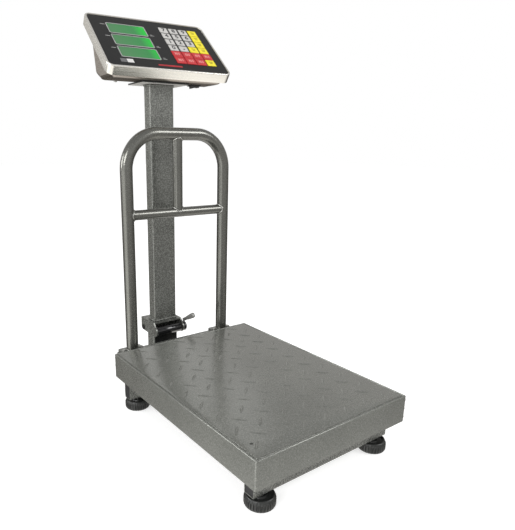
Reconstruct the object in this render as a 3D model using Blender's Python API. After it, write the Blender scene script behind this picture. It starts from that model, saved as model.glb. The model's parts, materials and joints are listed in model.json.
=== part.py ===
"""Platform counting scale with a folding mast: a 300 x 400 mm weighing deck on one load cell, a guard
hoop behind it, and a mast on a fold joint that carries a tilted indicator head with a keypad.

Units are metres, +Z is up, +X is the user's right and +Y points away from the user. Dimensions along
Y are counted from the deck's centre. Everything hangs from one datum, which puts the origin under
the middle of the whole scale."""

import math

import bmesh
import bpy
from mathutils import Matrix, Vector

GAP = 0.0003
RUNNING = 0.0001

# Deck and the frame that it sits on
DECK_WIDTH = 0.300
DECK_DEPTH = 0.400
DECK_TOP = 0.0935
DECK_SHEET = 0.003
SKIRT_BOTTOM = 0.050
DECK_BEND = 0.003
RING_WIDTH = 0.286
RING_DEPTH = 0.362
RING_TUBE = 0.024
BEAM_WIDTH = 0.060
BEAM_HEIGHT = 0.011
DECK_SCREW = (-0.130, -0.166)

# Base frame
TUBE_BOTTOM = 0.020
TUBE_DEPTH = 0.020
TUBE_HEIGHT = 0.040
TUBE_WALL = 0.0015
FRONT_TUBE_Y = -0.170
FRONT_TUBE_LENGTH = 0.270
REAR_TUBE_Y = 0.160
REAR_TUBE_LENGTH = 0.292
PLUG_LENGTH = 0.012
SPINE_WIDTH = 0.060
SPINE_HEIGHT = 0.024
SPINE_TOP = 0.045
SPINE_WALL = 0.002
TAIL_END = 0.306
RAIL_Y = 0.221
RAIL_DEPTH = 0.030
RAIL_LENGTH = 0.256
RAIL_TOP = 0.0797

# Levelling feet
FOOT_RADIUS = 0.0222
FOOT_HEIGHT = 0.017
FOOT_INSET = 0.0195
STUD_RADIUS = 0.005
STUD_TOP = 0.050
FOOT_SIDES = 28

# Load cell
CELL_LENGTH = 0.130
CELL_WIDTH = 0.030
CELL_HEIGHT = 0.022
CELL_BOLT_YS = (0.035, 0.050)
SPACER_LENGTH = 0.036
SPACER_HEIGHT = 0.0055

# Guard hoop
GUARD_TOP = 0.4887
GUARD_HALF_WIDTH = 0.1035
GUARD_RADIUS = 0.011
GUARD_BEND = 0.062
GUARD_WALL = 0.0015
RUNG_RADIUS = 0.009
RUNG_HEIGHT = 0.337
FLANGE_WIDTH = 0.046
FLANGE_HEIGHT = 0.005

# Mast and its fold joint
POST_WIDTH = 0.056
POST_FRONT = 0.274
POST_DEPTH = 0.028
POST_TOP = 0.1056
POST_NOTCH_TOP = 0.079
POST_NOTCH_DEPTH = 0.009
HOOD_WIDTH = 0.066
HOOD_FRONT = 0.266
HOOD_REAR = 0.318
HOOD_TOP = 0.109
HOOD_SHEET = 0.003
PIN_Y = 0.3082
PIN_Z = 0.0888
PIN_RADIUS = 0.004
LOCK_Y = 0.2635
LOCK_Z = 0.091
LOCK_RADIUS = 0.010
LOCK_FLAT = 0.0065
MAST_WIDTH = 0.050
MAST_DEPTH = 0.025
MAST_Y = 0.2855
MAST_WALL = 0.0015

# Indicator head
HEAD_Y = 0.282
HEAD_Z = 0.633
HEAD_TURN = math.radians(-6.0)
PANEL_TILT = math.radians(38.8)
TRAY_WIDTH = 0.236
TRAY_LENGTH = 0.162
TRAY_HEIGHT = 0.0165
TRAY_CORNER = 0.012
TRAY_RIM = 0.0012
TRAY_SHEET = 0.001
OVERLAY_WIDTH = 0.228
OVERLAY_LENGTH = 0.153
OVERLAY_SHEET = 0.0007
OVERLAY_CORNER = 0.0085
HOUSING_WIDTH = 0.212
HOUSING_SHEET = 0.0012
HOUSING_BOTTOM = -0.0657
WINDOW_SIZE = (0.072, 0.031)
WINDOW_X = -0.0483
WINDOW_YS = (0.039, 0.0023, -0.0342)
KEY_PITCH = (0.0204, 0.0194)
FIRST_KEY = (0.0268, 0.0508)
BOARD_TOP = -0.0072
BOARD_SHEET = 0.0016
DISPLAY_OPENING = (0.0744, 0.107)
KEY_RISE = 0.0013
KEY_DEPTH = 0.0032
KEY_GAP = 0.00035
PLATE_SIZE = (0.092, 0.073, 0.0025)
PLATE_Y = 0.0055
BRACKET_BOLTS = ((-0.038, -0.020), (0.038, -0.020), (-0.038, 0.012), (0.038, 0.012))
SWITCH_AT = (0.068, -0.007)
ROCKER_REST = math.radians(-8.0)

FINISHES = {
    "deck_paint": ((0.27, 0.28, 0.26), 0.35, 0.3),
    "frame_paint": ((0.16, 0.165, 0.155), 0.4, 0.3),
    "steel": ((0.62, 0.61, 0.57), 0.3, 1.0),
    "zinc": ((0.5, 0.5, 0.48), 0.35, 1.0),
    "aluminium": ((0.7, 0.7, 0.71), 0.4, 1.0),
    "black_plastic": ((0.02, 0.02, 0.02), 0.5, 0.0),
    "black_gloss": ((0.012, 0.012, 0.012), 0.15, 0.0),
    "overlay": ((0.035, 0.035, 0.036), 0.35, 0.0),
    "display_lens": ((0.35, 0.7, 0.4), 0.1, 0.0),
    "display_green": ((0.02, 0.55, 0.12), 0.4, 0.0),
    "board_green": ((0.02, 0.16, 0.06), 0.5, 0.0),
    "battery_grey": ((0.08, 0.085, 0.09), 0.5, 0.0),
    "key_grey": ((0.6, 0.6, 0.58), 0.4, 0.0),
    "key_yellow": ((0.85, 0.8, 0.03), 0.4, 0.0),
    "key_red": ((0.6, 0.03, 0.04), 0.4, 0.0),
}


def finish(name):
    """The material of that name, made on first use."""
    known = bpy.data.materials.get(name)
    if known:
        return known
    colour, roughness, metallic = FINISHES[name]
    made = bpy.data.materials.new(name)
    made.use_nodes = True
    shader = made.node_tree.nodes["Principled BSDF"]
    shader.inputs["Base Color"].default_value = (*colour, 1.0)
    shader.inputs["Roughness"].default_value = roughness
    shader.inputs["Metallic"].default_value = metallic
    return made


# ---------------------------------------------------------------- outlines and solids


def rectangle(width, height, centre=(0.0, 0.0), radius=0.0, steps=3):
    """Corner points of a rectangle, anticlockwise, with round corners where radius is given."""
    if radius == 0.0:
        steps = 0
    points = []
    for turn, (sx, sy) in enumerate(((1, 1), (-1, 1), (-1, -1), (1, -1))):
        corner = (sx * (width / 2 - radius), sy * (height / 2 - radius))
        for step in range(steps + 1):
            angle = math.pi / 2 * (turn + (step / steps if steps else 0.5))
            points.append(
                (
                    centre[0] + corner[0] + radius * math.cos(angle),
                    centre[1] + corner[1] + radius * math.sin(angle),
                )
            )
    return points


def circle(radius, sides=16, centre=(0.0, 0.0), start=0.0, end=2 * math.pi):
    """Points of a circle, or of the arc from start to end with both its ends."""
    whole = end - start >= 2 * math.pi
    count = sides if whole else sides + 1
    return [
        (
            centre[0] + radius * math.cos(start + (end - start) * i / sides),
            centre[1] + radius * math.sin(start + (end - start) * i / sides),
        )
        for i in range(count)
    ]


def place(u, v, along, axis):
    """A point of an outline in space, at the given place along its extrusion axis."""
    return {"X": (along, u, v), "Y": (u, along, v), "Z": (u, v, along)}[axis]


def prism(mesh, outline, start, end, axis="Z", bore=None):
    """Extrudes an outline, or the ring between it and a bore of as many points."""
    loops = [outline] if bore is None else [outline, bore]
    walls = []
    for loop in loops:
        walls.append([[mesh.verts.new(place(u, v, t, axis)) for u, v in loop] for t in (start, end)])
    for low, high in walls:
        for i in range(len(low)):
            j = (i + 1) % len(low)
            mesh.faces.new((low[i], low[j], high[j], high[i]))
    for level in (0, 1):
        if bore is None:
            mesh.faces.new(walls[0][level])
            continue
        outer, inner = walls[0][level], walls[1][level]
        for i in range(len(outer)):
            j = (i + 1) % len(outer)
            mesh.faces.new((outer[i], outer[j], inner[j], inner[i]))


def block(mesh, size, centre):
    """A plain box."""
    prism(
        mesh,
        rectangle(size[0], size[1], centre[:2]),
        centre[2] - size[2] / 2,
        centre[2] + size[2] / 2,
    )


def box_tube(mesh, width, height, wall, start, end, axis, centre, radius=0.002):
    """A rectangular tube with round corners, open at both ends."""
    outline = rectangle(width, height, centre, radius, 2)
    bore = rectangle(width - 2 * wall, height - 2 * wall, centre, max(radius - wall, 0.0003), 2)
    prism(mesh, outline, start, end, axis, bore)


def rod(mesh, radius, start, end, axis="Z", centre=(0.0, 0.0), sides=16):
    prism(mesh, circle(radius, sides, centre), start, end, axis)


def turned(mesh, profile, centre=(0.0, 0.0), sides=FOOT_SIDES):
    """A solid of revolution about Z from (radius, height) points, bottom to top."""
    rings = [
        [mesh.verts.new((x, y, height)) for x, y in circle(radius, sides, centre)]
        for radius, height in profile
    ]
    for low, high in zip(rings, rings[1:]):
        for i in range(sides):
            j = (i + 1) % sides
            mesh.faces.new((low[i], low[j], high[j], high[i]))
    mesh.faces.new(rings[0])
    mesh.faces.new(rings[-1])


def bent_tube(mesh, path, radius, wall, sides=16):
    """A round tube, open at both ends, along a path of (x, z) points in the plane y = 0."""
    points = [Vector((x, 0.0, z)) for x, z in path]
    rings = {True: [], False: []}
    for i, point in enumerate(points):
        before = points[max(i - 1, 0)]
        after = points[min(i + 1, len(points) - 1)]
        side = Vector((0, 1, 0)).cross((after - before).normalized())
        for outer, reach in ((True, radius), (False, radius - wall)):
            rings[outer].append(
                [
                    mesh.verts.new(point + reach * (side * u + Vector((0, v, 0))))
                    for u, v in circle(1.0, sides)
                ]
            )
    for loops in rings.values():
        for low, high in zip(loops, loops[1:]):
            for i in range(sides):
                j = (i + 1) % sides
                mesh.faces.new((low[i], low[j], high[j], high[i]))
    for end in (0, -1):
        outer, inner = rings[True][end], rings[False][end]
        for i in range(sides):
            j = (i + 1) % sides
            mesh.faces.new((outer[i], outer[j], inner[j], inner[i]))


def settle(mesh, name):
    """Turns a bmesh into mesh data with outward faces."""
    bmesh.ops.recalc_face_normals(mesh, faces=mesh.faces)
    data = bpy.data.meshes.new(name)
    mesh.to_mesh(data)
    mesh.free()
    return data


def piece(name, shapes, look, parent, location=(0, 0, 0), rotation=(0, 0, 0), round_faces=False):
    """A named part: shapes is a function that fills a bmesh in the part's own axes."""
    mesh = bmesh.new()
    shapes(mesh)
    made = bpy.data.objects.new(name, settle(mesh, name))
    made.data.materials.append(finish(look))
    if round_faces:
        made.data.shade_smooth()
        made.data.set_sharp_from_angle(angle=math.radians(35))
    bpy.context.scene.collection.objects.link(made)
    made.parent = parent
    made.location = location
    made.rotation_euler = rotation
    return made


def combine(target, name, shapes, operation="DIFFERENCE"):
    """Cuts shapes from a part, or joins them to it, in the part's own axes."""
    mesh = bmesh.new()
    shapes(mesh)
    helper = bpy.data.objects.new(name, settle(mesh, name))
    helper.hide_render = True
    helper.display_type = "WIRE"
    bpy.context.scene.collection.objects.link(helper)
    helper.parent = target
    step = target.modifiers.new(name, "BOOLEAN")
    step.operation = operation
    step.object = helper


def bevel(target, width, segments=1, angle=math.radians(40)):
    step = target.modifiers.new("bevel", "BEVEL")
    step.width = width
    step.segments = segments
    step.limit_method = "ANGLE"
    step.angle_limit = angle


def mirrored(points):
    """Each (x, y) point together with its twin at -x."""
    return [(sign * x, y) for x, y in points for sign in (-1, 1)]


def empty(name, parent=None, location=(0, 0, 0), rotation=(0, 0, 0)):
    made = bpy.data.objects.new(name, None)
    bpy.context.scene.collection.objects.link(made)
    made.parent = parent
    made.location = location
    made.rotation_euler = rotation
    return made


# ---------------------------------------------------------------- base frame


def foot_places():
    """(name, x, y) of the four levelling feet, under the tube ends."""
    front = FRONT_TUBE_LENGTH / 2 - FOOT_INSET
    rear = REAR_TUBE_LENGTH / 2 - FOOT_INSET
    return (
        ("foot_front_left", -front, FRONT_TUBE_Y),
        ("foot_front_right", front, FRONT_TUBE_Y),
        ("foot_rear_left", -rear, REAR_TUBE_Y),
        ("foot_rear_right", rear, REAR_TUBE_Y),
    )


def stop_places():
    """(x, y) of the four overload stop screws on the cross tubes."""
    return mirrored([(0.085, FRONT_TUBE_Y + 0.001), (0.085, REAR_TUBE_Y + 0.001)])


def guard_screw_places():
    reach = FLANGE_WIDTH / 2 - 0.006
    return mirrored([(GUARD_HALF_WIDTH - reach, RAIL_Y), (GUARD_HALF_WIDTH + reach, RAIL_Y)])


def base_frame(parent):
    """Two cross tubes, the spine between them, the tail behind and the rail across it, all welded."""
    overlap = TUBE_WALL - 0.0005

    def front_tube(mesh):
        middle = (FRONT_TUBE_Y, TUBE_BOTTOM + TUBE_HEIGHT / 2)
        half = FRONT_TUBE_LENGTH / 2
        box_tube(mesh, TUBE_DEPTH, TUBE_HEIGHT, TUBE_WALL, -half, half, "X", middle)

    def rear_tube(mesh):
        middle = (REAR_TUBE_Y, TUBE_BOTTOM + TUBE_HEIGHT / 2)
        half = REAR_TUBE_LENGTH / 2
        box_tube(mesh, TUBE_DEPTH, TUBE_HEIGHT, TUBE_WALL, -half, half, "X", middle)

    def spine(mesh):
        half_tube = TUBE_DEPTH / 2 - overlap
        middle = (0.0, SPINE_TOP - SPINE_HEIGHT / 2)
        for start, end in (
            (FRONT_TUBE_Y + half_tube, REAR_TUBE_Y - half_tube),
            (REAR_TUBE_Y + half_tube, TAIL_END),
        ):
            box_tube(mesh, SPINE_WIDTH, SPINE_HEIGHT, SPINE_WALL, start, end, "Y", middle)

    def rail(mesh):
        bottom = SPINE_TOP - SPINE_WALL / 2
        middle = (RAIL_Y, (bottom + RAIL_TOP) / 2)
        half = RAIL_LENGTH / 2
        box_tube(mesh, RAIL_DEPTH, RAIL_TOP - bottom, TUBE_WALL, -half, half, "X", middle)

    def overload_stops(mesh):
        top = TUBE_BOTTOM + TUBE_HEIGHT
        for centre in stop_places():
            rod(mesh, 0.005, top - 0.001, top + 0.0055, centre=centre)

    def holes(mesh):
        for _, x, y in foot_places():
            rod(mesh, STUD_RADIUS + 0.0006, TUBE_BOTTOM - 0.002, TUBE_BOTTOM + 0.004, centre=(x, y))
        for y in CELL_BOLT_YS:
            rod(mesh, 0.003, SPINE_TOP - 0.004, SPINE_TOP + 0.002, centre=(0, -y), sides=12)
        for centre in guard_screw_places():
            rod(mesh, 0.0029, RAIL_TOP - 0.004, RAIL_TOP + 0.002, centre=centre, sides=12)

    made = piece("base_frame", front_tube, "frame_paint", parent)
    combine(made, "base_rear_tube", rear_tube, "UNION")
    combine(made, "base_spine", spine, "UNION")
    combine(made, "base_rail", rail, "UNION")
    combine(made, "base_overload_stops", overload_stops, "UNION")
    combine(made, "base_holes", holes)


def tube_end_plugs(parent):
    inner = TUBE_DEPTH - 2 * TUBE_WALL - 2 * GAP, TUBE_HEIGHT - 2 * TUBE_WALL - 2 * GAP
    for end, y, length in (
        ("front", FRONT_TUBE_Y, FRONT_TUBE_LENGTH),
        ("rear", REAR_TUBE_Y, REAR_TUBE_LENGTH),
    ):
        for side, sign in (("left", -1), ("right", 1)):

            def plug(mesh, sign=sign, length=length):
                reach = sorted((0.0, -sign * PLUG_LENGTH))
                prism(mesh, rectangle(*inner, (0, 0), 0.001, 2), *reach, axis="X")

            place_at = (sign * (length / 2 - 0.0005), y, TUBE_BOTTOM + TUBE_HEIGHT / 2)
            piece(f"end_plug_{end}_{side}", plug, "black_plastic", parent, place_at)


def levelling_feet(parent):
    """Round pads with a dished top, each on a threaded stud that goes up into its tube."""
    rim = FOOT_RADIUS

    def foot(mesh):
        turned(
            mesh,
            (
                (rim * 0.84, 0.0),
                (rim, 0.004),
                (rim, FOOT_HEIGHT - 0.003),
                (rim - 0.003, FOOT_HEIGHT),
                (rim * 0.55, FOOT_HEIGHT - 0.0025),
                (STUD_RADIUS, FOOT_HEIGHT - 0.002),
                (STUD_RADIUS, STUD_TOP),
            ),
        )

    for name, x, y in foot_places():
        piece(name, foot, "black_plastic", parent, (x, y, 0.0), round_faces=True)


def load_cell_heights():
    """Heights of the cell's underside and of its top."""
    bottom = SPINE_TOP + GAP + SPACER_HEIGHT + GAP
    return bottom, bottom + CELL_HEIGHT


def load_cell(parent):
    low, high = load_cell_heights()

    def beam(mesh):
        block(mesh, (CELL_WIDTH, CELL_LENGTH, CELL_HEIGHT), (0, 0, (low + high) / 2))

    made = piece("load_cell", beam, "aluminium", parent)

    def waist(mesh):
        middle = (low + high) / 2
        half = CELL_WIDTH / 2 + 0.002
        centres = (-0.009, 0.009)
        outline = circle(0.0075, 12, (centres[1], middle), -math.pi / 2, math.pi / 2)
        outline += circle(0.0075, 12, (centres[0], middle), math.pi / 2, 3 * math.pi / 2)
        prism(mesh, outline, -half, half, "X")

    def bolt_holes(mesh):
        for y in CELL_BOLT_YS:
            rod(mesh, 0.003, low - 0.001, low + 0.012, centre=(0, -y), sides=12)
            rod(mesh, 0.003, high - 0.012, high + 0.001, centre=(0, y), sides=12)

    combine(made, "load_cell_waist", waist)
    combine(made, "load_cell_holes", bolt_holes)

    # Each spacer carries two bolts: the lower ones hold the cell to the spine, the upper to the deck.
    middle = sum(CELL_BOLT_YS) / 2

    def lower_spacer(mesh):
        centre = (0, -middle, low - GAP - SPACER_HEIGHT / 2)
        block(mesh, (CELL_WIDTH, SPACER_LENGTH, SPACER_HEIGHT), centre)

    def lower_bolts(mesh):
        for y in CELL_BOLT_YS:
            rod(mesh, 0.0025, SPINE_TOP - 0.009, low + 0.010, centre=(0, -y), sides=12)

    def upper_spacer(mesh):
        centre = (0, middle, high + GAP + SPACER_HEIGHT / 2)
        block(mesh, (CELL_WIDTH, SPACER_LENGTH, SPACER_HEIGHT), centre)

    def upper_bolts(mesh):
        for y in CELL_BOLT_YS:
            rod(mesh, 0.0025, high - 0.010, high + SPACER_HEIGHT + 0.010, centre=(0, y), sides=12)

    made = piece("cell_spacer_lower", lower_spacer, "zinc", parent)
    combine(made, "cell_bolts_lower", lower_bolts, "UNION")
    made = piece("cell_spacer_upper", upper_spacer, "zinc", parent)
    combine(made, "cell_bolts_upper", upper_bolts, "UNION")


def upper_frame(parent):
    """The welded ring of square tube under the deck, with a flat beam that the load cell carries."""
    top = DECK_TOP - DECK_SHEET - GAP
    outer = rectangle(RING_WIDTH, RING_DEPTH)
    inner = rectangle(RING_WIDTH - 2 * RING_TUBE, RING_DEPTH - 2 * RING_TUBE)

    def ring(mesh):
        prism(mesh, outer, top - RING_TUBE, top, "Z", inner)

    made = piece("upper_frame", ring, "frame_paint", parent)

    def hollow(mesh):
        inset = 2 * TUBE_WALL
        wide = rectangle(RING_WIDTH - inset, RING_DEPTH - inset)
        narrow = rectangle(RING_WIDTH - 2 * RING_TUBE + inset, RING_DEPTH - 2 * RING_TUBE + inset)
        prism(mesh, wide, top - RING_TUBE + TUBE_WALL, top - TUBE_WALL, "Z", narrow)

    def beam(mesh):
        reach = RING_DEPTH - 2 * RING_TUBE + TUBE_WALL
        block(mesh, (BEAM_WIDTH, reach, BEAM_HEIGHT), (0, 0, top - BEAM_HEIGHT / 2))

    def holes(mesh):
        for y in CELL_BOLT_YS:
            rod(mesh, 0.003, top - BEAM_HEIGHT - 0.002, top + 0.002, centre=(0, y), sides=12)
        rod(mesh, 0.0018, top - 0.004, top + 0.002, centre=DECK_SCREW, sides=12)

    def weep_holes(mesh):
        for sign in (-1, 1):
            rod(mesh, 0.004, top - RING_TUBE - 0.002, top - RING_TUBE + 0.004, centre=(sign * 0.131, 0.03))

    combine(made, "upper_frame_hollow", hollow)
    combine(made, "upper_frame_beam", beam, "UNION")
    combine(made, "upper_frame_holes", holes)
    combine(made, "upper_frame_weep_holes", weep_holes)


def deck_pan(parent):
    """The folded deck: a flat top with a skirt on every side, open underneath."""
    height = DECK_TOP - SKIRT_BOTTOM

    def outside(mesh):
        block(mesh, (DECK_WIDTH, DECK_DEPTH, height), (0, 0, SKIRT_BOTTOM + height / 2))
        rims = [e for e in mesh.edges if all(v.co.z > DECK_TOP - 1e-6 for v in e.verts)]
        bmesh.ops.bevel(mesh, geom=rims, offset=DECK_BEND, segments=3, profile=0.5, affect="EDGES")

    made = piece("deck_pan", outside, "deck_paint", parent)

    def inside(mesh):
        lowered = height - DECK_SHEET + 0.005
        block(
            mesh,
            (DECK_WIDTH - 2 * DECK_SHEET, DECK_DEPTH - 2 * DECK_SHEET, lowered),
            (0, 0, DECK_TOP - DECK_SHEET - lowered / 2),
        )

    def screw_hole(mesh):
        rod(mesh, 0.0024, DECK_TOP - DECK_SHEET - 0.002, DECK_TOP + 0.002, centre=DECK_SCREW)

    combine(made, "deck_pan_inside", inside)
    combine(made, "deck_pan_screw_hole", screw_hole)


def screw(name, parent, centre, seat, head_radius, head_height, length, shank=0.0025):
    """A screw whose head sits on the given height, with its shank below."""

    def shape(mesh):
        profile = (
            (shank, seat - length),
            (shank, seat - 1e-5),
            (head_radius, seat),
            (head_radius, seat + 0.7 * head_height),
            (0.6 * head_radius, seat + head_height),
        )
        turned(mesh, profile, (0, 0), 16)

    piece(name, shape, "zinc", parent, (*centre, 0.0), round_faces=True)


def frame_screws(parent):
    screw("deck_screw", parent, DECK_SCREW, DECK_TOP - 0.0018, 0.0021, 0.0014, 0.009, 0.0014)
    seat = RAIL_TOP + GAP + FLANGE_HEIGHT + GAP
    names = ("left_inner", "right_inner", "left_outer", "right_outer")
    for name, centre in zip(names, guard_screw_places()):
        screw("guard_screw_" + name, parent, centre, seat, 0.0044, 0.0026, 0.014)


# ---------------------------------------------------------------- guard hoop


def guard(parent):
    """The hoop with its flanges welded on, and the welded cross of rung and centre bar inside it."""
    flange_low = RAIL_TOP + GAP
    flange_top = flange_low + FLANGE_HEIGHT
    centre_top = GUARD_TOP - GUARD_RADIUS
    bend_z = centre_top - GUARD_BEND
    bend_x = GUARD_HALF_WIDTH - GUARD_BEND

    def hoop(mesh):
        path = [(GUARD_HALF_WIDTH, flange_top - 0.002)]
        path += circle(GUARD_BEND, 7, (bend_x, bend_z), 0.0, math.pi / 2)
        path += circle(GUARD_BEND, 7, (-bend_x, bend_z), math.pi / 2, math.pi)
        path.append((-GUARD_HALF_WIDTH, flange_top - 0.002))
        bent_tube(mesh, path, GUARD_RADIUS, GUARD_WALL)

    def flanges(mesh):
        for sign in (-1, 1):
            outline = rectangle(
                FLANGE_WIDTH, RAIL_DEPTH - 2 * GAP, (sign * GUARD_HALF_WIDTH, 0), 0.002, 2
            )
            prism(mesh, outline, flange_low, flange_top)

    def flange_holes(mesh):
        for x, _ in guard_screw_places():
            rod(mesh, 0.0029, flange_low - 0.002, flange_top + 0.002, centre=(x, 0), sides=12)
        for sign in (-1, 1):
            drain = (sign * GUARD_HALF_WIDTH, 0)
            rod(mesh, 0.004, flange_low - 0.002, flange_top + 0.002, centre=drain, sides=12)

    made = piece("guard_hoop", hoop, "frame_paint", parent, (0, RAIL_Y, 0), round_faces=True)
    combine(made, "guard_flanges", flanges, "UNION")
    combine(made, "guard_flange_holes", flange_holes)

    wall = circle(RUNG_RADIUS)
    bore = circle(RUNG_RADIUS - GUARD_WALL)

    def rung(mesh):
        lift = Matrix.Translation((0, 0, RUNG_HEIGHT))
        prism(mesh, wall, -GUARD_HALF_WIDTH, GUARD_HALF_WIDTH, "X", bore)
        bmesh.ops.transform(mesh, matrix=lift, verts=mesh.verts)

    def centre_bar(mesh):
        prism(mesh, wall, RUNG_HEIGHT + 0.001, centre_top, "Z", bore)

    def hoop_copes(mesh):
        reach = GUARD_RADIUS + GAP
        for sign in (-1, 1):
            rod(mesh, reach, 0.2, 0.4, centre=(sign * GUARD_HALF_WIDTH, 0), sides=24)

    def top_cope(mesh):
        rod(mesh, GUARD_RADIUS + GAP, -0.03, 0.03, "X", (0, centre_top), 24)

    made = piece("guard_bars", rung, "frame_paint", parent, (0, RAIL_Y, 0), round_faces=True)
    combine(made, "guard_centre_bar", centre_bar, "UNION")
    combine(made, "guard_rung_copes", hoop_copes)
    combine(made, "guard_centre_bar_cope", top_cope)


# ---------------------------------------------------------------- mast and fold joint


def base_post(parent):
    """The stub that the mast stands on: notched in front for the lock bar, with ears for the pin."""
    foot = SPINE_TOP + GAP
    middle = (0, POST_FRONT + POST_DEPTH / 2)

    def tube(mesh):
        box_tube(mesh, POST_WIDTH, POST_DEPTH, SPINE_WALL, foot, POST_TOP, "Z", middle, 0.0025)

    made = piece("base_post", tube, "frame_paint", parent)

    def ears(mesh):
        weld = POST_FRONT + POST_DEPTH - SPINE_WALL / 2
        ear = circle(0.0083, 12, (PIN_Y, PIN_Z), -math.pi / 2, math.pi / 2)
        ear += [(weld, PIN_Z + 0.0083), (weld, PIN_Z - 0.020)]
        for sign in (-1, 1):
            ends = sorted((sign * 0.019, sign * 0.025))
            prism(mesh, ear, *ends, axis="X")

    combine(made, "base_post_ears", ears, "UNION")

    def notch(mesh):
        block(
            mesh,
            (POST_WIDTH + 0.01, POST_NOTCH_DEPTH + 0.01, 0.06),
            (0, POST_FRONT + (POST_NOTCH_DEPTH - 0.01) / 2, POST_NOTCH_TOP + 0.03),
        )

    def pin_hole(mesh):
        rod(mesh, PIN_RADIUS + RUNNING, -0.028, 0.028, "X", (PIN_Y, PIN_Z), 20)

    combine(made, "base_post_notch", notch)
    combine(made, "base_post_pin_hole", pin_hole)


def mast(parent, axis_at):
    """Hood, pin and mast column, which fold back together about the pin."""

    def hood(mesh):
        block(
            mesh,
            (HOOD_WIDTH, HOOD_REAR - HOOD_FRONT, HOOD_SHEET),
            (0, (HOOD_FRONT + HOOD_REAR) / 2 - axis_at[0], HOOD_TOP - HOOD_SHEET / 2 - axis_at[1]),
        )

    made = piece("fold_hood", hood, "frame_paint", parent)
    lug = 0.0108
    cheek = [
        (HOOD_REAR, HOOD_TOP),
        (HOOD_FRONT, HOOD_TOP),
        *circle(lug, 10, (LOCK_Y, LOCK_Z), math.radians(105), math.radians(270)),
        (POST_FRONT + 0.006, 0.081),
        (HOOD_REAR - 0.004, 0.083),
        (HOOD_REAR, 0.087),
    ]

    def cheeks(mesh):
        outline = [(y - axis_at[0], z - axis_at[1]) for y, z in cheek]
        for sign in (-1, 1):
            ends = sorted((sign * HOOD_WIDTH / 2, sign * (HOOD_WIDTH / 2 - HOOD_SHEET)))
            prism(mesh, outline, *ends, axis="X")

    def bores(mesh):
        reach = HOOD_WIDTH / 2 + 0.002
        rod(mesh, PIN_RADIUS + GAP, -reach, reach, "X", (0, 0), 20)
        rod(mesh, 0.0035 + GAP, -reach, reach, "X", (LOCK_Y - axis_at[0], LOCK_Z - axis_at[1]), 16)

    combine(made, "fold_hood_cheeks", cheeks, "UNION")
    combine(made, "fold_hood_bores", bores)

    def pin(mesh):
        half = HOOD_WIDTH / 2 + GAP
        rod(mesh, PIN_RADIUS, -half - 0.0005, half + 0.0005, "X", sides=20)

    made = piece("hinge_pin", pin, "zinc", parent, round_faces=True)

    def pin_heads(mesh):
        half = HOOD_WIDTH / 2 + GAP
        for sign in (-1, 1):
            ends = sorted((sign * half, sign * (half + 0.0012)))
            rod(mesh, 0.0055, *ends, axis="X", sides=20)

    combine(made, "hinge_pin_heads", pin_heads, "UNION")

    def column(mesh):
        start = HOOD_TOP + GAP - axis_at[1]
        end = HEAD_Z + HOUSING_BOTTOM - PLATE_SIZE[2] - 2 * GAP - axis_at[1]
        middle = (0, MAST_Y - axis_at[0])
        box_tube(mesh, MAST_WIDTH, MAST_DEPTH, MAST_WALL, start, end, "Z", middle, 0.003)

    piece("mast_column", column, "frame_paint", parent)


def lock(parent):
    """The cam bar across the front of the fold joint and the hand lever on its right end."""
    inner = HOOD_WIDTH / 2 - HOOD_SHEET - 0.0008

    def bar(mesh):
        half_chord = math.acos(LOCK_FLAT / LOCK_RADIUS)
        face = math.radians(110)
        outline = circle(LOCK_RADIUS, 20, (0, 0), face + half_chord, face - half_chord + 2 * math.pi - 1e-9)
        prism(mesh, outline, -inner, inner, "X")

    made = piece("lock_bar", bar, "black_gloss", parent, round_faces=True)

    def journals(mesh):
        for sign in (-1, 1):
            ends = sorted((sign * (inner - 0.004), sign * (HOOD_WIDTH / 2 + GAP)))
            rod(mesh, 0.0035, *ends, axis="X", sides=16)

    combine(made, "lock_bar_journals", journals, "UNION")

    arm_angle = math.atan2(0.021, -0.046)
    tip = Vector((0.221 - LOCK_Y, 0.129 - LOCK_Z))
    tip_radius = 0.0037

    def lever(mesh):
        boss = circle(0.0118, 14, (0, 0), math.radians(100), math.radians(370))
        end = circle(tip_radius, 8, tip, arm_angle - math.pi / 2, arm_angle + math.pi / 2)
        outline = [(0.0115, 0.008), (0.006, 0.0195), *end, *boss[:-1]]
        start = HOOD_WIDTH / 2 + 2 * GAP
        prism(mesh, outline, start, start + 0.006, "X")

    made = piece("lock_lever", lever, "zinc", parent, round_faces=True)
    bevel(made, 0.0012)


# ---------------------------------------------------------------- indicator head


def panel_to_head(up, out):
    """(y, z) in the head's axes of a point given by its place up the panel's slope and out of it."""
    return (
        up * math.cos(PANEL_TILT) - out * math.sin(PANEL_TILT),
        up * math.sin(PANEL_TILT) + out * math.cos(PANEL_TILT),
    )


def tub_outline(inset=0.0, lift=0.0):
    """Side outline of the wedge-shaped tub under the tray, in the head's axes."""
    flange = -TRAY_HEIGHT + 0.0008
    front = panel_to_head(-0.076 + inset, flange + lift)
    rear = panel_to_head(0.076 - inset, flange + lift)
    bottom = HOUSING_BOTTOM + inset
    return [
        front,
        (-0.0435 + 0.6 * inset, bottom),
        (0.017 - 0.2 * inset, bottom),
        (0.046 - 0.8 * inset, -0.053 + 0.6 * inset),
        rear,
    ]


def tub(mesh, inset, lift, bend):
    """The tub as a solid, its bends rounded."""
    half = HOUSING_WIDTH / 2 - inset
    prism(mesh, tub_outline(inset, lift), -half, half, "X")
    mesh.edges.ensure_lookup_table()
    top = max(v.co.z for v in mesh.verts)
    front_top = tub_outline(inset, lift)[0]

    def on_rim(vert):
        return vert.co.z > top - 1e-6 or (Vector((vert.co.y, vert.co.z)) - Vector(front_top)).length < 1e-6

    bends = [e for e in mesh.edges if not all(on_rim(v) for v in e.verts)]
    bmesh.ops.bevel(mesh, geom=bends, offset=bend, segments=3, profile=0.5, affect="EDGES", clamp_overlap=True)


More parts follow.
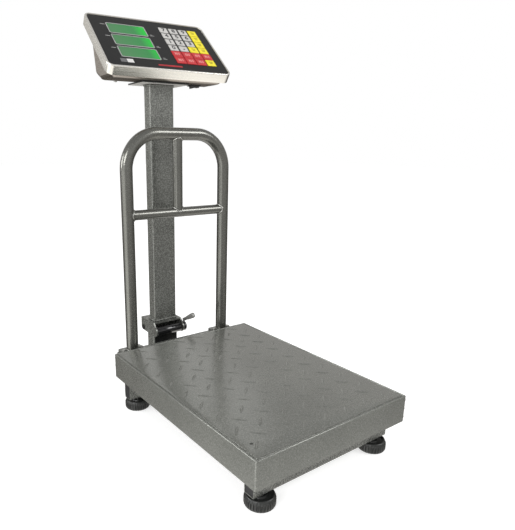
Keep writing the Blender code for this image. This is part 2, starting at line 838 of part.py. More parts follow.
def head_housing(head, panel):
    """The stainless tub that holds the battery and the switch, with a flange inside the tray."""
    flange_low = -TRAY_HEIGHT + 0.0008
    inner_width = TRAY_WIDTH - 2 * TRAY_SHEET - 2 * GAP
    inner_length = TRAY_LENGTH - 2 * TRAY_SHEET - 2 * GAP

    def outside(mesh):
        tub(mesh, 0.0, 0.0005, 0.007)

    made = piece("head_housing", outside, "steel", head)

    def flange(mesh):
        outline = rectangle(inner_width, inner_length, (0, 0), TRAY_CORNER - TRAY_SHEET - GAP, 3)
        prism(mesh, outline, flange_low, flange_low + HOUSING_SHEET)
        bmesh.ops.rotate(
            mesh, verts=mesh.verts, cent=(0, 0, 0), matrix=Matrix.Rotation(PANEL_TILT, 3, "X")
        )

    def inside(mesh):
        tub(mesh, HOUSING_SHEET, 0.012, 0.0058)

    def holes(mesh):
        low, high = HOUSING_BOTTOM - 0.004, HOUSING_BOTTOM + 0.006
        for centre in BRACKET_BOLTS:
            rod(mesh, 0.0029, low, high, centre=centre, sides=12)
        block(mesh, (0.0194, 0.0134, high - low), (*SWITCH_AT, (low + high) / 2))

    combine(made, "head_housing_flange", flange, "UNION")
    combine(made, "head_housing_inside", inside)
    combine(made, "head_housing_holes", holes)


def head_tray(panel):
    """The folded stainless lid around the control panel."""

    def outside(mesh):
        outline = rectangle(TRAY_WIDTH, TRAY_LENGTH, (0, 0), TRAY_CORNER, 5)
        prism(mesh, outline, -TRAY_HEIGHT, TRAY_RIM)

    made = piece("head_tray", outside, "steel", panel)

    def recess(mesh):
        size = OVERLAY_WIDTH + 2 * GAP, OVERLAY_LENGTH + 2 * GAP
        outline = rectangle(*size, (0, 0), OVERLAY_CORNER + GAP, 5)
        prism(mesh, outline, -OVERLAY_SHEET - GAP, TRAY_RIM + 0.002)

    def inside(mesh):
        outline = rectangle(
            TRAY_WIDTH - 2 * TRAY_SHEET,
            TRAY_LENGTH - 2 * TRAY_SHEET,
            (0, 0),
            TRAY_CORNER - TRAY_SHEET,
            5,
        )
        prism(mesh, outline, -TRAY_HEIGHT - 0.002, -OVERLAY_SHEET - GAP - TRAY_SHEET)

    def openings(mesh):
        middle = (WINDOW_YS[0] + WINDOW_YS[-1]) / 2
        block(mesh, (*DISPLAY_OPENING, 0.01), (WINDOW_X, middle, -0.002))
        keys_x = FIRST_KEY[0] + 1.5 * KEY_PITCH[0]
        keys_y = FIRST_KEY[1] - 2.5 * KEY_PITCH[1]
        block(mesh, (0.084, 0.1185, 0.01), (keys_x, keys_y, -0.002))

    combine(made, "head_tray_recess", recess)
    combine(made, "head_tray_inside", inside)
    combine(made, "head_tray_openings", openings)


# Keys by row from the top: names, and the finish that sets a key's size
KEY_ROWS = (
    (("key_7", "key_grey"), ("key_8", "key_grey"), ("key_9", "key_grey"), ("key_zero_set", "key_yellow")),
    (("key_4", "key_grey"), ("key_5", "key_grey"), ("key_6", "key_grey"), ("key_tare", "key_yellow")),
    (("key_1", "key_grey"), ("key_2", "key_grey"), ("key_3", "key_grey"), ("key_clear", "key_yellow")),
    (("key_0", "key_grey"), ("key_dot", "key_grey"), ("key_add", "key_yellow"), ("key_total", "key_yellow")),
    tuple((f"key_memory_{i}", "key_red") for i in (1, 2, 3, 4)),
    (*((f"key_memory_{i}", "key_red") for i in (5, 6, 7)), ("key_save", "key_yellow")),
)
KEY_SIZES = {
    "key_grey": (0.0164, 0.0154),
    "key_yellow": (0.0174, 0.0170),
    "key_red": (0.0188, 0.0178),
}


def keys():
    """(name, finish, x, y, size) of every key, in the panel's axes."""
    for row, names in enumerate(KEY_ROWS):
        for column, (name, look) in enumerate(names):
            x = FIRST_KEY[0] + column * KEY_PITCH[0]
            y = FIRST_KEY[1] - row * KEY_PITCH[1]
            yield name, look, x, y, KEY_SIZES[look]


def control_panel(panel):
    """Overlay sheet, display windows and modules, keypad board and the keys."""

    def sheet(mesh):
        outline = rectangle(OVERLAY_WIDTH, OVERLAY_LENGTH, (0, 0), OVERLAY_CORNER, 5)
        prism(mesh, outline, -OVERLAY_SHEET, 0.0)

    made = piece("overlay_panel", sheet, "overlay", panel)

    def openings(mesh):
        for y in WINDOW_YS:
            block(mesh, (*WINDOW_SIZE, 0.004), (WINDOW_X, y, 0))
        for _, _, x, y, size in keys():
            block(mesh, (size[0] + 2 * KEY_GAP, size[1] + 2 * KEY_GAP, 0.004), (x, y, 0))

    combine(made, "overlay_panel_openings", openings)

    tray_face = -OVERLAY_SHEET - GAP
    window_middle = (WINDOW_YS[0] + WINDOW_YS[-1]) / 2

    def lens(mesh):
        size = (DISPLAY_OPENING[0] - 2 * GAP, DISPLAY_OPENING[1] - 2 * GAP, 0.0006)
        block(mesh, size, (WINDOW_X, window_middle, tray_face - size[2] / 2))

    def board(mesh):
        block(mesh, (0.196, 0.128, BOARD_SHEET), (0.003, 0.002, BOARD_TOP - BOARD_SHEET / 2))

    def modules(mesh):
        top = tray_face - 0.0006 - GAP
        for y in WINDOW_YS:
            height = top - BOARD_TOP + 0.0005
            block(mesh, (0.0715, 0.0300, height), (WINDOW_X, y, top - height / 2))

    piece("display_lens", lens, "display_lens", panel)
    made = piece("main_board", board, "board_green", panel)
    combine(made, "display_modules", modules, "UNION")

    for name, look, x, y, size in keys():

        def key(mesh, size=size):
            block(mesh, (*size, KEY_RISE + KEY_DEPTH), (0, 0, (KEY_RISE - KEY_DEPTH) / 2))
            rims = [e for e in mesh.edges if all(v.co.z > KEY_RISE - 1e-6 for v in e.verts)]
            bmesh.ops.bevel(mesh, geom=rims, offset=0.0006, segments=1, profile=0.5, affect="EDGES")

        piece(name, key, look, panel, (x, y, 0))


def head_internals(head):
    def battery(mesh):
        block(mesh, (0.060, 0.030, 0.034), (0, -0.008, HOUSING_BOTTOM + 0.0185))

    made = piece("battery", battery, "battery_grey", head)
    bevel(made, 0.0015)

    def plate(mesh):
        top = HOUSING_BOTTOM - GAP
        outline = rectangle(PLATE_SIZE[0], PLATE_SIZE[1], (0, PLATE_Y), 0.002, 2)
        prism(mesh, outline, top - PLATE_SIZE[2], top)

    made = piece("bracket_plate", plate, "black_plastic", head)

    def studs(mesh):
        low = HOUSING_BOTTOM - GAP - PLATE_SIZE[2]
        for centre in BRACKET_BOLTS:
            rod(mesh, 0.0025, low + 0.001, HOUSING_BOTTOM + 0.009, centre=centre, sides=12)

    combine(made, "bracket_plate_studs", studs, "UNION")

    def switch_body(mesh):
        under = HOUSING_BOTTOM - GAP
        prism(
            mesh,
            rectangle(0.021, 0.015, SWITCH_AT),
            under - 0.002,
            under,
            "Z",
            rectangle(0.0172, 0.0112, SWITCH_AT),
        )

    made = piece("rocker_bezel", switch_body, "black_plastic", head)

    def switch_can(mesh):
        low = HOUSING_BOTTOM - GAP - 0.0005
        prism(
            mesh,
            rectangle(0.0188, 0.0128, SWITCH_AT),
            low,
            HOUSING_BOTTOM + 0.013,
            "Z",
            rectangle(0.0172, 0.0112, SWITCH_AT),
        )

    def switch_lid(mesh):
        high = HOUSING_BOTTOM + 0.013
        block(mesh, (0.0188, 0.0128, 0.002), (*SWITCH_AT, high + 0.0005))

    combine(made, "rocker_bezel_can", switch_can, "UNION")
    combine(made, "rocker_bezel_lid", switch_lid, "UNION")

    def rocker(mesh):
        """Rocks about Y through its origin; its underside is two faces that meet in a shallow V."""
        outline = [
            (-0.0080, -0.0050),
            (0.0, -0.0038),
            (0.0080, -0.0050),
            (0.0080, -0.0010),
            (0.0040, 0.0020),
            (-0.0040, 0.0020),
            (-0.0080, -0.0010),
        ]
        prism(mesh, outline, -0.0053, 0.0053, "Y")

    pivot = (*SWITCH_AT, HOUSING_BOTTOM - 0.0005)
    piece("power_rocker", rocker, "black_gloss", head, pivot, (0, ROCKER_REST, 0))


# ---------------------------------------------------------------- assembly


def centre_over_origin(datum):
    """Slides the whole scale along Y until the middle of its extent is over the origin."""
    bpy.context.view_layer.update()
    graph = bpy.context.evaluated_depsgraph_get()
    reach = []
    for made in bpy.context.scene.objects:
        if made.type != "MESH" or made.hide_render:
            continue
        shape = made.evaluated_get(graph)
        reach += [(shape.matrix_world @ v.co).y for v in shape.data.vertices]
    datum.location.y = -(min(reach) + max(reach)) / 2


def main():
    for made in list(bpy.data.objects):
        bpy.data.objects.remove(made)
    datum = empty("datum")
    base_frame(datum)
    tube_end_plugs(datum)
    levelling_feet(datum)
    load_cell(datum)
    upper_frame(datum)
    deck_pan(datum)
    frame_screws(datum)
    guard(datum)
    base_post(datum)
    fold_axis = empty("fold_axis", datum, (0, PIN_Y, PIN_Z))
    mast(fold_axis, (PIN_Y, PIN_Z))
    lock_axis = empty("lock_axis", fold_axis, (0, LOCK_Y - PIN_Y, LOCK_Z - PIN_Z))
    lock(lock_axis)
    head = empty("head", fold_axis, (0, HEAD_Y - PIN_Y, HEAD_Z - PIN_Z), (0, 0, HEAD_TURN))
    panel = empty("panel", head, rotation=(PANEL_TILT, 0, 0))
    head_housing(head, panel)
    head_tray(panel)
    control_panel(panel)
    head_internals(head)
    centre_over_origin(datum)


main()
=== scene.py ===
"""Looks for the platform scale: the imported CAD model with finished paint, steel, rubber and printed
details around it, on a plain pale floor. Everything is in metres, in the CAD model's own frame."""

import json
import math

import bmesh
import bpy
from mathutils import Matrix, Vector, noise


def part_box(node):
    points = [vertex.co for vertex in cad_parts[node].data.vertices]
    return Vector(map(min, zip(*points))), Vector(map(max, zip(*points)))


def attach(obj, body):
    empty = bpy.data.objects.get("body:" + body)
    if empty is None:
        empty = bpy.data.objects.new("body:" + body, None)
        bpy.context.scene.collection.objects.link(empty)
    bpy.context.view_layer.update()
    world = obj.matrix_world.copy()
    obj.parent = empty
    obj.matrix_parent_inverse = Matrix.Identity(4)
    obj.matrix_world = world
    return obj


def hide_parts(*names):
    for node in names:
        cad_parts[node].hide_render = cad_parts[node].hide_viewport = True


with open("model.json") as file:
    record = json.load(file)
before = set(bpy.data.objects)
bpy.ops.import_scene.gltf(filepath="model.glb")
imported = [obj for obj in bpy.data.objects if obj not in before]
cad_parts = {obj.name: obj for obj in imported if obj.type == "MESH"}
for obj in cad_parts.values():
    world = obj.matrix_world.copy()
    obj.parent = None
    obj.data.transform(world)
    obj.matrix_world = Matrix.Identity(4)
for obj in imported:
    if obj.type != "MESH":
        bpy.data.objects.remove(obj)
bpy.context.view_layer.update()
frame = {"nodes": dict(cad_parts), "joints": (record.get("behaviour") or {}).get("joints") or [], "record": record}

# Small lifts that keep printed and laid-on details clear of the surface under them
SKIN = 0.00006
PRINT = 0.00010

# Deck pan: its sheet, corners and bends, the hole for its screw, and the groove inside its edge
# as (distance from the edge, depth)
DECK_SHEET = 0.003
DECK_CORNER = 0.0030
DECK_BEND = 0.0017
SCREW_HOLE = 0.0024
SEAM_DEPTH = 0.0012
SEAM = (
    (0.0027, 0.0002),
    (0.0031, SEAM_DEPTH),
    (0.0046, SEAM_DEPTH),
    (0.0050, 0.0002),
    (0.0056, 0.0),
)

# Steps around the rounded top edge of the pan and of the head's tray
BEND_STEPS = 5

# Painted shade: a dark strip on the groove's floor, standing in for the shade in the groove, as (distance from the
# edge, height over the floor)
SEAM_SHADE_STRIP = ((0.0030, -0.0003), (0.0030, 0.0001), (0.0047, 0.0001), (0.0047, -0.0003))

# Tread pattern of the deck: two families of marks on one square grid
TREAD_PITCH = 0.042
TREAD_LENGTH = 0.0245
TREAD_WIDTH = 0.0048
TREAD_HEIGHT = 0.00085
TREAD_PHASES = ((0.020, 0.016, -45.0), (-0.001, -0.005, 45.0))

# Spots of weld on the deck's corners: how far down they are, how far in, and their own outline
# as (height, radius)
CORNER_DROPS = (0.0075, 0.022, 0.036)
CORNER_INSET = 0.0016
CORNER_SPOT = (
    (-0.0042, 0.0003),
    (-0.0028, 0.0011),
    (0, 0.0015),
    (0.0028, 0.0011),
    (0.0042, 0.0003),
)

# Guard, mast and fold joint
GUARD_RADIUS = 0.011
GUARD_BEND = 0.062
LEG_X = 0.1035
RUNG_RADIUS = 0.009
FLANGE_SHEET = 0.005
MAST_CORNER = 0.0032
# Painted shade: a black sheet over the front of the post, for the shade on that face
SHADE_PLATE_TOP = 0.0790
SHADE_PLATE_WIDTH = 0.052
BAR_RADIUS = 0.01
BAR_HALF = 0.0292
JOURNAL_RADIUS = 0.0034

# Feet: ribs of the rubber pad, the pad's outline as (share of its radius, height), and how much of
# a rib's depth is cut into each row of that outline
FOOT_RIBS = 30
RIB_DEPTH = 0.0016
STEPS_PER_RIB = 6
PAD_OUTLINE = (
    (0.86, 0.0),
    (0.93, 0.0007),
    (0.975, 0.0022),
    (0.995, 0.0034),
    (0.995, 0.0112),
    (0.985, 0.0122),
    (0.93, 0.0150),
    (0.90, 0.0164),
    (0.86, 0.0169),
    (0.80, 0.0164),
    (0.74, 0.0140),
    (0.45, 0.0136),
    (0.40, 0.0158),
    (0.30, 0.0162),
    (0.27, 0.0140),
)
RIB_SHARES = {2: 0.55, 3: 1.0, 4: 1.0, 5: 0.55}
STUD_RADIUS = 0.0046
STUD_FROM = 0.0135
THREAD_DEPTH = 0.0004

# Indicator head. The windows' border is given as (distance inwards, height), the housing's screws
# as (across, along), and a screw's outline as (radius, height from the housing's underside)
TRAY_CORNER = 0.012
TRAY_EDGE = 0.0017
TRAY_LEDGE = 0.0125
TRAY_CLEARANCE = 0.0003
TRAY_SHEET = 0.001
OVERLAY_GAP = 0.0003
OVERLAY_SHEET = 0.0007
WINDOWS = ((-0.0483, 0.039), (-0.0483, 0.0023), (-0.0483, -0.0342))
WINDOW_SIZE = (0.072, 0.031)
BORDER = ((-0.0010, SKIN), (-0.0008, 0.00035), (0.0007, 0.00035), (0.0007, -0.0003))
STICKER_Y = -0.0609
DIGIT_SIZE = 0.0138
DIGIT_WEIGHT = 0.00038
HOUSING_SCREWS = ((-0.079, 0.016), (0.079, 0.016))
SCREW_OUTLINE = (
    (0.0001, -0.0015),
    (0.0013, -0.0014),
    (0.0024, -0.0011),
    (0.0029, -0.0005),
    (0.0029, 0.0004),
    (0.0001, 0.0004),
)

# The room as light: two directions in it, and its colours below and above the horizon
BEHIND = (0.59, 0.81, 0.0)
BESIDE = (-0.96, -0.10, -0.27)
WALL_NEAR = (0.66, 0.65, 0.63)
WALL_FAR = (0.09, 0.08, 0.07)
WALL_STRIP = (2.2, 2.2, 2.15)
FLOOR_GLOW = (1.45, 1.42, 1.36)
HIGH_NEAR = (0.85, 0.85, 0.85)
HIGH_FAR = (0.50, 0.49, 0.47)
HIGH_TOP = (0.60, 0.60, 0.60)
WHITE = (1.0, 1.0, 1.0)

# Square area lights: place, side and power
LIGHTS = {
    "key_light": ((-2.7, -1.0, 1.5), 1.2, 37.0),
    "side_light": ((-2.6, 1.5, 1.1), 1.2, 32.0),
    "fill_light": ((1.5, -1.8, 1.7), 0.9, 21.0),
    "rim_light": ((1.4, 2.4, 2.0), 1.6, 3.0),
}
LIGHT_TARGET = (0.0, 0.05, 0.3)
FLOOR_REACH = 9.0

CAMERA_AT = (-0.5093, -0.69383, 0.4658)
CAMERA_AZIMUTH = math.radians(-36.02)
CAMERA_ELEVATION = math.radians(15.85)
CAMERA_ROLL = math.radians(0.72)
CAMERA_LENS = 35.12
CAMERA_SHIFT = (0.0743, 0.0434)

# Where tubes and rods start the ring of points around them
FRONT_BACK = Vector((0, 1, 0))


# ---------------------------------------------------------------- material helpers


class Nodes:
    """A short way to build a node tree: a material's, or the world's."""

    def __init__(self, owner, shader="Principled BSDF", coords="Object"):
        owner.use_nodes = True
        self.owner = owner
        self.tree = owner.node_tree
        self.shader = self.tree.nodes[shader]
        self.coords = self.tree.nodes.new("ShaderNodeTexCoord").outputs[coords]

    def set(self, **values):
        for key, value in values.items():
            socket = self.shader.inputs[key.replace("_", " ")]
            socket.default_value = (*value, 1.0) if isinstance(value, tuple) else value

    def link(self, output, key):
        self.tree.links.new(output, self.shader.inputs[key])

    def feed(self, socket, value):
        if isinstance(value, bpy.types.NodeSocket):
            self.tree.links.new(value, socket)
        else:
            socket.default_value = value

    def add(self, kind, **inputs):
        node = self.tree.nodes.new(kind)
        for key, value in inputs.items():
            self.feed(node.inputs[key.replace("_", " ")], value)
        return node

    def operate(self, kind, operation, *values):
        """A math or vector math node, fed in the order of its sockets."""
        node = self.tree.nodes.new(kind)
        node.operation = operation
        for socket, value in zip(node.inputs, values):
            self.feed(socket, value)
        return node

    def math(self, operation, first, second):
        return self.operate("ShaderNodeMath", operation, first, second).outputs[0]

    def along(self, direction):
        """How far the coordinates lie along a direction."""
        node = self.operate("ShaderNodeVectorMath", "DOT_PRODUCT", self.coords, direction)
        return node.outputs["Value"]

    def stretched(self, scale, turn):
        turned = self.add("ShaderNodeMapping", Vector=self.coords, Rotation=turn).outputs[0]
        return self.add("ShaderNodeMapping", Vector=turned, Scale=scale).outputs[0]

    def noise(self, scale, detail=2.0, roughness=0.5, vector=None):
        node = self.add(
            "ShaderNodeTexNoise",
            Vector=vector or self.coords,
            Scale=scale,
            Detail=detail,
            Roughness=roughness,
        )
        return node.outputs["Fac"]

    def cells(self, scale):
        node = self.add("ShaderNodeTexVoronoi", Vector=self.coords, Scale=scale)
        return node.outputs["Distance"]

    def ramp(self, factor, *stops):
        node = self.add("ShaderNodeValToRGB", Fac=factor)
        points = node.color_ramp.elements
        while len(points) < len(stops):
            points.new(0.5)
        for point, (place, colour) in zip(points, stops):
            point.position = place
            point.color = (*colour, 1.0)
        return node.outputs["Color"]

    def range(self, factor, low, high, start=0.0, end=1.0):
        node = self.add(
            "ShaderNodeMapRange",
            Value=factor,
            From_Min=start,
            From_Max=end,
            To_Min=low,
            To_Max=high,
        )
        return node.outputs["Result"]

    def mix(self, factor, first, second):
        """A colour mix. Sockets 0, 6 and 7 are the factor and the two colours."""
        node = self.tree.nodes.new("ShaderNodeMix")
        node.data_type = "RGBA"
        for key, value in ((0, factor), (6, first), (7, second)):
            self.feed(node.inputs[key], (*value, 1.0) if isinstance(value, tuple) else value)
        return node.outputs[2]

    def bump(self, height, strength, distance):
        node = self.add("ShaderNodeBump", Height=height, Strength=strength, Distance=distance)
        self.link(node.outputs["Normal"], "Normal")


def new_material(name):
    return Nodes(bpy.data.materials.new(name))


def hammered_paint(name, dark, light, roughness, fleck, relief, metallic, coat):
    """Hammered grey-green paint: a fine fleck, a slow cloud under it and a pebbled surface."""
    made = new_material(name)
    made.set(Metallic=metallic, Coat_Weight=coat, Coat_Roughness=0.22)
    grain = made.noise(fleck, 3.0, 0.62)
    pebbles = made.cells(fleck * 0.62)
    cloud = made.noise(9.0)
    mottle = made.math("ADD", grain, made.math("MULTIPLY", pebbles, -0.35))
    colour = made.ramp(mottle, (0.22, dark), (0.52, light))
    shade = made.range(cloud, 0.90, 1.08, 0.3, 0.7)
    shaded = made.operate("ShaderNodeVectorMath", "SCALE", colour)
    made.feed(shaded.inputs["Scale"], shade)
    made.link(shaded.outputs[0], "Base Color")
    made.link(made.range(grain, roughness - 0.07, roughness + 0.09, 0.3, 0.7), "Roughness")
    made.bump(mottle, relief, 0.0006)
    return made.owner


def brushed_steel(name, colour, roughness, streaks):
    """Steel brushed along its length: fine streaks in colour and roughness, and a faint grain."""
    made = new_material(name)
    made.set(Metallic=1.0, Anisotropic=0.45)
    turn = (0.0, 0.0, -PANEL_TURN.z)
    lines = made.noise(1.0, 3.0, 0.6, made.stretched((5.0, 900.0, 900.0), turn))
    broad = made.noise(1.0, 2.0, 0.5, made.stretched((3.0, 120.0, 120.0), turn))
    both = made.math("ADD", made.math("MULTIPLY", lines, 0.7), made.math("MULTIPLY", broad, 0.3))
    low = tuple(c * (1 - 0.16 * streaks) for c in colour)
    made.link(made.ramp(both, (0.35, low), (0.65, colour)), "Base Color")
    made.link(made.range(lines, roughness - 0.05, roughness + 0.09, 0.3, 0.7), "Roughness")
    made.bump(lines, 0.04, 0.0001)
    return made.owner


def moulded(name, colour, roughness, grain=900.0, relief=0.15, spread=0.12, coat=0.0, specular=0.5):
    """Moulded plastic or rubber with a fine skin texture and slight unevenness of colour."""
    made = new_material(name)
    made.set(Coat_Weight=coat, Coat_Roughness=0.08, Specular_IOR_Level=specular)
    skin = made.noise(grain, 2.0, 0.55)
    cloud = made.noise(45.0)
    low = tuple(c * (1 - spread) for c in colour)
    high = tuple(min(1.0, c * (1 + spread)) for c in colour)
    made.link(made.ramp(cloud, (0.35, low), (0.65, high)), "Base Color")
    made.link(made.range(skin, roughness - 0.05, roughness + 0.07, 0.3, 0.7), "Roughness")
    made.bump(skin, relief, 0.0002)
    return made.owner


def metal(name, colour, roughness):
    """Plated or milled metal with a light wear pattern."""
    made = new_material(name)
    made.set(Metallic=1.0)
    wear = made.noise(500.0, 3.0, 0.6)
    low = tuple(c * 0.82 for c in colour)
    made.link(made.ramp(made.noise(60.0), (0.35, low), (0.65, colour)), "Base Color")
    made.link(made.range(wear, roughness - 0.08, roughness + 0.1, 0.3, 0.7), "Roughness")
    made.bump(wear, 0.1, 0.0002)
    return made.owner


# ---------------------------------------------------------------- mesh helpers


def linked(name, data):
    made = bpy.data.objects.new(name, data)
    bpy.context.scene.collection.objects.link(made)
    return made


def solid(name, mesh, material, body, smooth):
    """Links a finished bmesh as a piece that rides on a body."""
    bmesh.ops.recalc_face_normals(mesh, faces=mesh.faces)
    data = bpy.data.meshes.new(name)
    mesh.to_mesh(data)
    mesh.free()
    data.materials.append(material)
    if smooth:
        data.shade_smooth()
        data.set_sharp_from_angle(angle=math.radians(smooth))
    made = linked(name, data)
    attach(made, body)
    return made


def rounded_rectangle(width, height, radius, steps=8, centre=(0.0, 0.0)):
    points = []
    for turn, (sx, sy) in enumerate(((1, 1), (-1, 1), (-1, -1), (1, -1))):
        cx = centre[0] + sx * (width / 2 - radius)
        cy = centre[1] + sy * (height / 2 - radius)
        for step in range(steps + 1):
            angle = math.pi / 2 * (turn + step / steps)
            points.append((cx + radius * math.cos(angle), cy + radius * math.sin(angle)))
    return points


def circle(radius, steps, centre=(0.0, 0.0)):
    angles = [2 * math.pi * k / steps for k in range(steps)]
    return [(centre[0] + radius * math.cos(a), centre[1] + radius * math.sin(a)) for a in angles]


def divided(course, pitch):
    """A closed course with points added along its sides, about a pitch apart."""
    found = []
    for start, end in zip(course, course[1:] + course[:1]):
        pieces = max(1, int(math.dist(start, end) / pitch))
        for k in range(pieces):
            found.append(tuple(a + (b - a) * k / pieces for a, b in zip(start, end)))
    return found


def join(mesh, low, high):
    """Faces between two loops of vertices."""
    for i in range(len(low)):
        j = (i + 1) % len(low)
        mesh.faces.new((low[i], low[j], high[j], high[i]))


def skin(mesh, loops, ring=False):
    """Joins loops of points with faces, and caps or joins the first and the last."""
    rows = [[mesh.verts.new(point) for point in loop] for loop in loops]
    for low, high in zip(rows, rows[1:]):
        join(mesh, low, high)
    if ring:
        join(mesh, rows[-1], rows[0])
    else:
        mesh.faces.new(rows[0][::-1])
        mesh.faces.new(rows[-1])


def tube_loops(path, radius_at, sides, side):
    """Loops of points around a path. radius_at(i, angle) gives the radius, and side is where the
    angle starts; it turns as little as it can along the path."""
    points = [Vector(p) for p in path]
    loops = []
    for i, point in enumerate(points):
        before, after = points[max(i - 1, 0)], points[min(i + 1, len(points) - 1)]
        along = (after - before).normalized()
        side = (side - side.dot(along) * along).normalized()
        up = along.cross(side)
        loop = []
        for k in range(sides):
            angle = 2 * math.pi * k / sides
            reach = radius_at(i, angle)
            loop.append(point + reach * (math.cos(angle) * side + math.sin(angle) * up))
        loops.append(loop)
    return loops


def bead(mesh, path, size, seed, lumps=0.35, pitch=0.0035, sides=8):
    """A closed, lumpy weld bead along a loop of points."""
    points = [Vector(p) for p in path]
    skew = Vector((0.31, 0.54, 0.78))
    loops = []
    travelled = 0.0
    for i, point in enumerate(points):
        before, after = points[i - 1], points[(i + 1) % len(points)]
        along = (after - before).normalized()
        travelled += (point - before).length
        ripple = abs(math.sin(math.pi * travelled / pitch + seed))
        wobble = noise.noise(point * 260.0 + Vector((seed, 0, 0)))
        radius = size * (1 - lumps / 2 + lumps * ripple * 0.6 + lumps * wobble)
        side = skew.cross(along).normalized()
        up = along.cross(side)
        loops.append([point + radius * (c * side + s * up) for c, s in circle(1.0, sides)])
    skin(mesh, loops, ring=True)


def revolve(mesh, profile, centre, sides, radius_at=lambda step, angle, radius: radius):
    """A closed solid of revolution about Z from (radius, height) points."""
    loops = []
    for step, (radius, height) in enumerate(profile):
        loop = []
        for k in range(sides):
            angle = 2 * math.pi * k / sides
            reach = radius_at(step, angle, radius)
            x, y = centre[0] + reach * math.cos(angle), centre[1] + reach * math.sin(angle)
            loop.append((x, y, height))
        loops.append(loop)
    skin(mesh, loops)


def plate(mesh, outline, low, high, edge=0.0, to=Matrix()):
    """An extruded outline with an optional small chamfer around its top, carried by a matrix."""
    middle = Vector((sum(p[0] for p in outline), sum(p[1] for p in outline))) / len(outline)

    def loop(inset, height):
        found = []
        for u, v in outline:
            spot = Vector((u, v)) - middle
            spot = spot * (1 - inset / max(spot.length, 1e-9)) + middle
            found.append(to @ Vector((spot.x, spot.y, height)))
        return found

    loops = [loop(0.0, low), loop(0.0, high - edge)]
    if edge:
        loops.append(loop(edge, high))
    skin(mesh, loops)


def bar_outline(width, height, x, y):
    corners = ((1, 1), (-1, 1), (-1, -1), (1, -1))
    return [(x + sx * width / 2, y + sy * height / 2) for sx, sy in corners]


# ---------------------------------------------------------------- places in the CAD model


def joint(name):
    return next(j for j in frame["joints"] if j["name"] == name)


def centre_of(node):
    low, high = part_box(node)
    return (low + high) / 2


def panel_matrix():
    """Axes of the control panel: X to the right, Y up its slope, Z out of its face."""
    out = -Vector(joint("key_5_press")["axis"]).normalized()
    back = Vector(joint("power_rock")["axis"]).normalized()
    right = Vector((back.y, -back.x, 0)).normalized()
    up = out.cross(right).normalized()
    origin = centre_of("overlay_panel") + out * OVERLAY_SHEET / 2
    return Matrix.Translation(origin) @ Matrix((right, up, out)).transposed().to_4x4()


def extent_in(node, axes):
    """Lowest and highest corner of a node, measured along other axes."""
    inverse = axes.inverted()
    points = [inverse @ v.co for v in frame["nodes"][node].data.vertices]
    low = Vector([min(p[i] for p in points) for i in range(3)])
    high = Vector([max(p[i] for p in points) for i in range(3)])
    return low, high


SLOTS = {part["node"]: part["material_slot"] for part in frame["record"]["subparts"]}
PANEL = panel_matrix()
PANEL_TURN = PANEL.to_euler()
DECK_LOW, DECK_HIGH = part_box("deck_pan")
DECK_MIDDLE = (DECK_LOW + DECK_HIGH) / 2


# ---------------------------------------------------------------- finishes


# Hammered paints: dark and light colour, roughness, fleck, relief, metallic and coat
PAINTS = {
    "deck_paint": ((0.143, 0.147, 0.132), (0.236, 0.241, 0.221), 0.19, 720.0, 0.10, 0.40, 0.5),
    "frame_paint": ((0.096, 0.099, 0.089), (0.238, 0.243, 0.225), 0.26, 520.0, 0.20, 0.45, 0.35),
    "guard_paint": ((0.125, 0.125, 0.113), (0.172, 0.172, 0.158), 0.22, 900.0, 0.02, 0.8, 0.25),
    "lever_paint": ((0.20, 0.20, 0.19), (0.30, 0.30, 0.285), 0.28, 900.0, 0.04, 0.3, 0.3),
}

# Brushed steels: colour, roughness and strength of the streaks
STEELS = {
    "steel": ((0.80, 0.78, 0.73), 0.24, 0.25),
    # Painted shade: the housing's steel is a darker, browner copy of the tray's steel, for the shade on the
    # housing's walls
    "housing_steel": ((0.40, 0.36, 0.32), 0.26, 0.5),
}

# Other metals: colour and roughness
METALS = {
    "zinc": ((0.46, 0.46, 0.44), 0.33),
    "aluminium": ((0.72, 0.72, 0.73), 0.38),
    "weld_paint": ((0.36, 0.36, 0.34), 0.18),
    "dark_zinc": ((0.13, 0.13, 0.125), 0.3),
}

# Plastics, rubber and inks: colour, roughness, then grain, relief, spread, coat and specular
MOULDINGS = {
    "rubber": ((0.018, 0.019, 0.018), 0.34, 700.0, 0.15, 0.2),
    "black_plastic": ((0.010, 0.010, 0.011), 0.45),
    "black_gloss": ((0.006, 0.006, 0.007), 0.12, 300.0, 0.05, 0.1, 0.6),
    "overlay": ((0.012, 0.012, 0.012), 0.42, 1500.0, 0.04, 0.06, 0.0, 0.22),
    "board_green": ((0.01, 0.12, 0.04), 0.4),
    "battery_grey": ((0.06, 0.065, 0.07), 0.5),
    "key_grey": ((0.56, 0.55, 0.53), 0.42, 1200.0, 0.1, 0.04),
    "key_yellow": ((0.86, 0.74, 0.015), 0.40, 1200.0, 0.1, 0.04),
    "key_red": ((0.55, 0.018, 0.024), 0.40, 1200.0, 0.1, 0.05),
    "print_dark": ((0.03, 0.03, 0.032), 0.5),
    "print_light": ((0.80, 0.79, 0.78), 0.5),
    "print_label": ((0.36, 0.36, 0.35), 0.5),
    "print_red": ((0.42, 0.012, 0.02), 0.45),
    "print_pink": ((0.85, 0.42, 0.40), 0.5),
    "print_olive": ((0.30, 0.25, 0.01), 0.5),
    "sticker_grey": ((0.14, 0.14, 0.145), 0.4),
    "window_border": ((0.34, 0.35, 0.34), 0.35),
    # Glossy black of the painted shade on the post's front face
    "post_black": ((0.012, 0.012, 0.012), 0.22, 500.0, 0.05, 0.1, 0.3),
    # Dark grey of the painted shade in the deck's groove
    "seam_dark": ((0.035, 0.036, 0.033), 0.6),
}


def finishes():
    look = {"bracket_black_painted_lit_underside": black_plate_painted_lit_underside(), "display_green": display_green()}
    kinds = (
        (hammered_paint, PAINTS),
        (brushed_steel, STEELS),
        (metal, METALS),
        (moulded, MOULDINGS),
    )
    for kind, table in kinds:
        look |= {name: kind(name, *values) for name, values in table.items()}
    return look


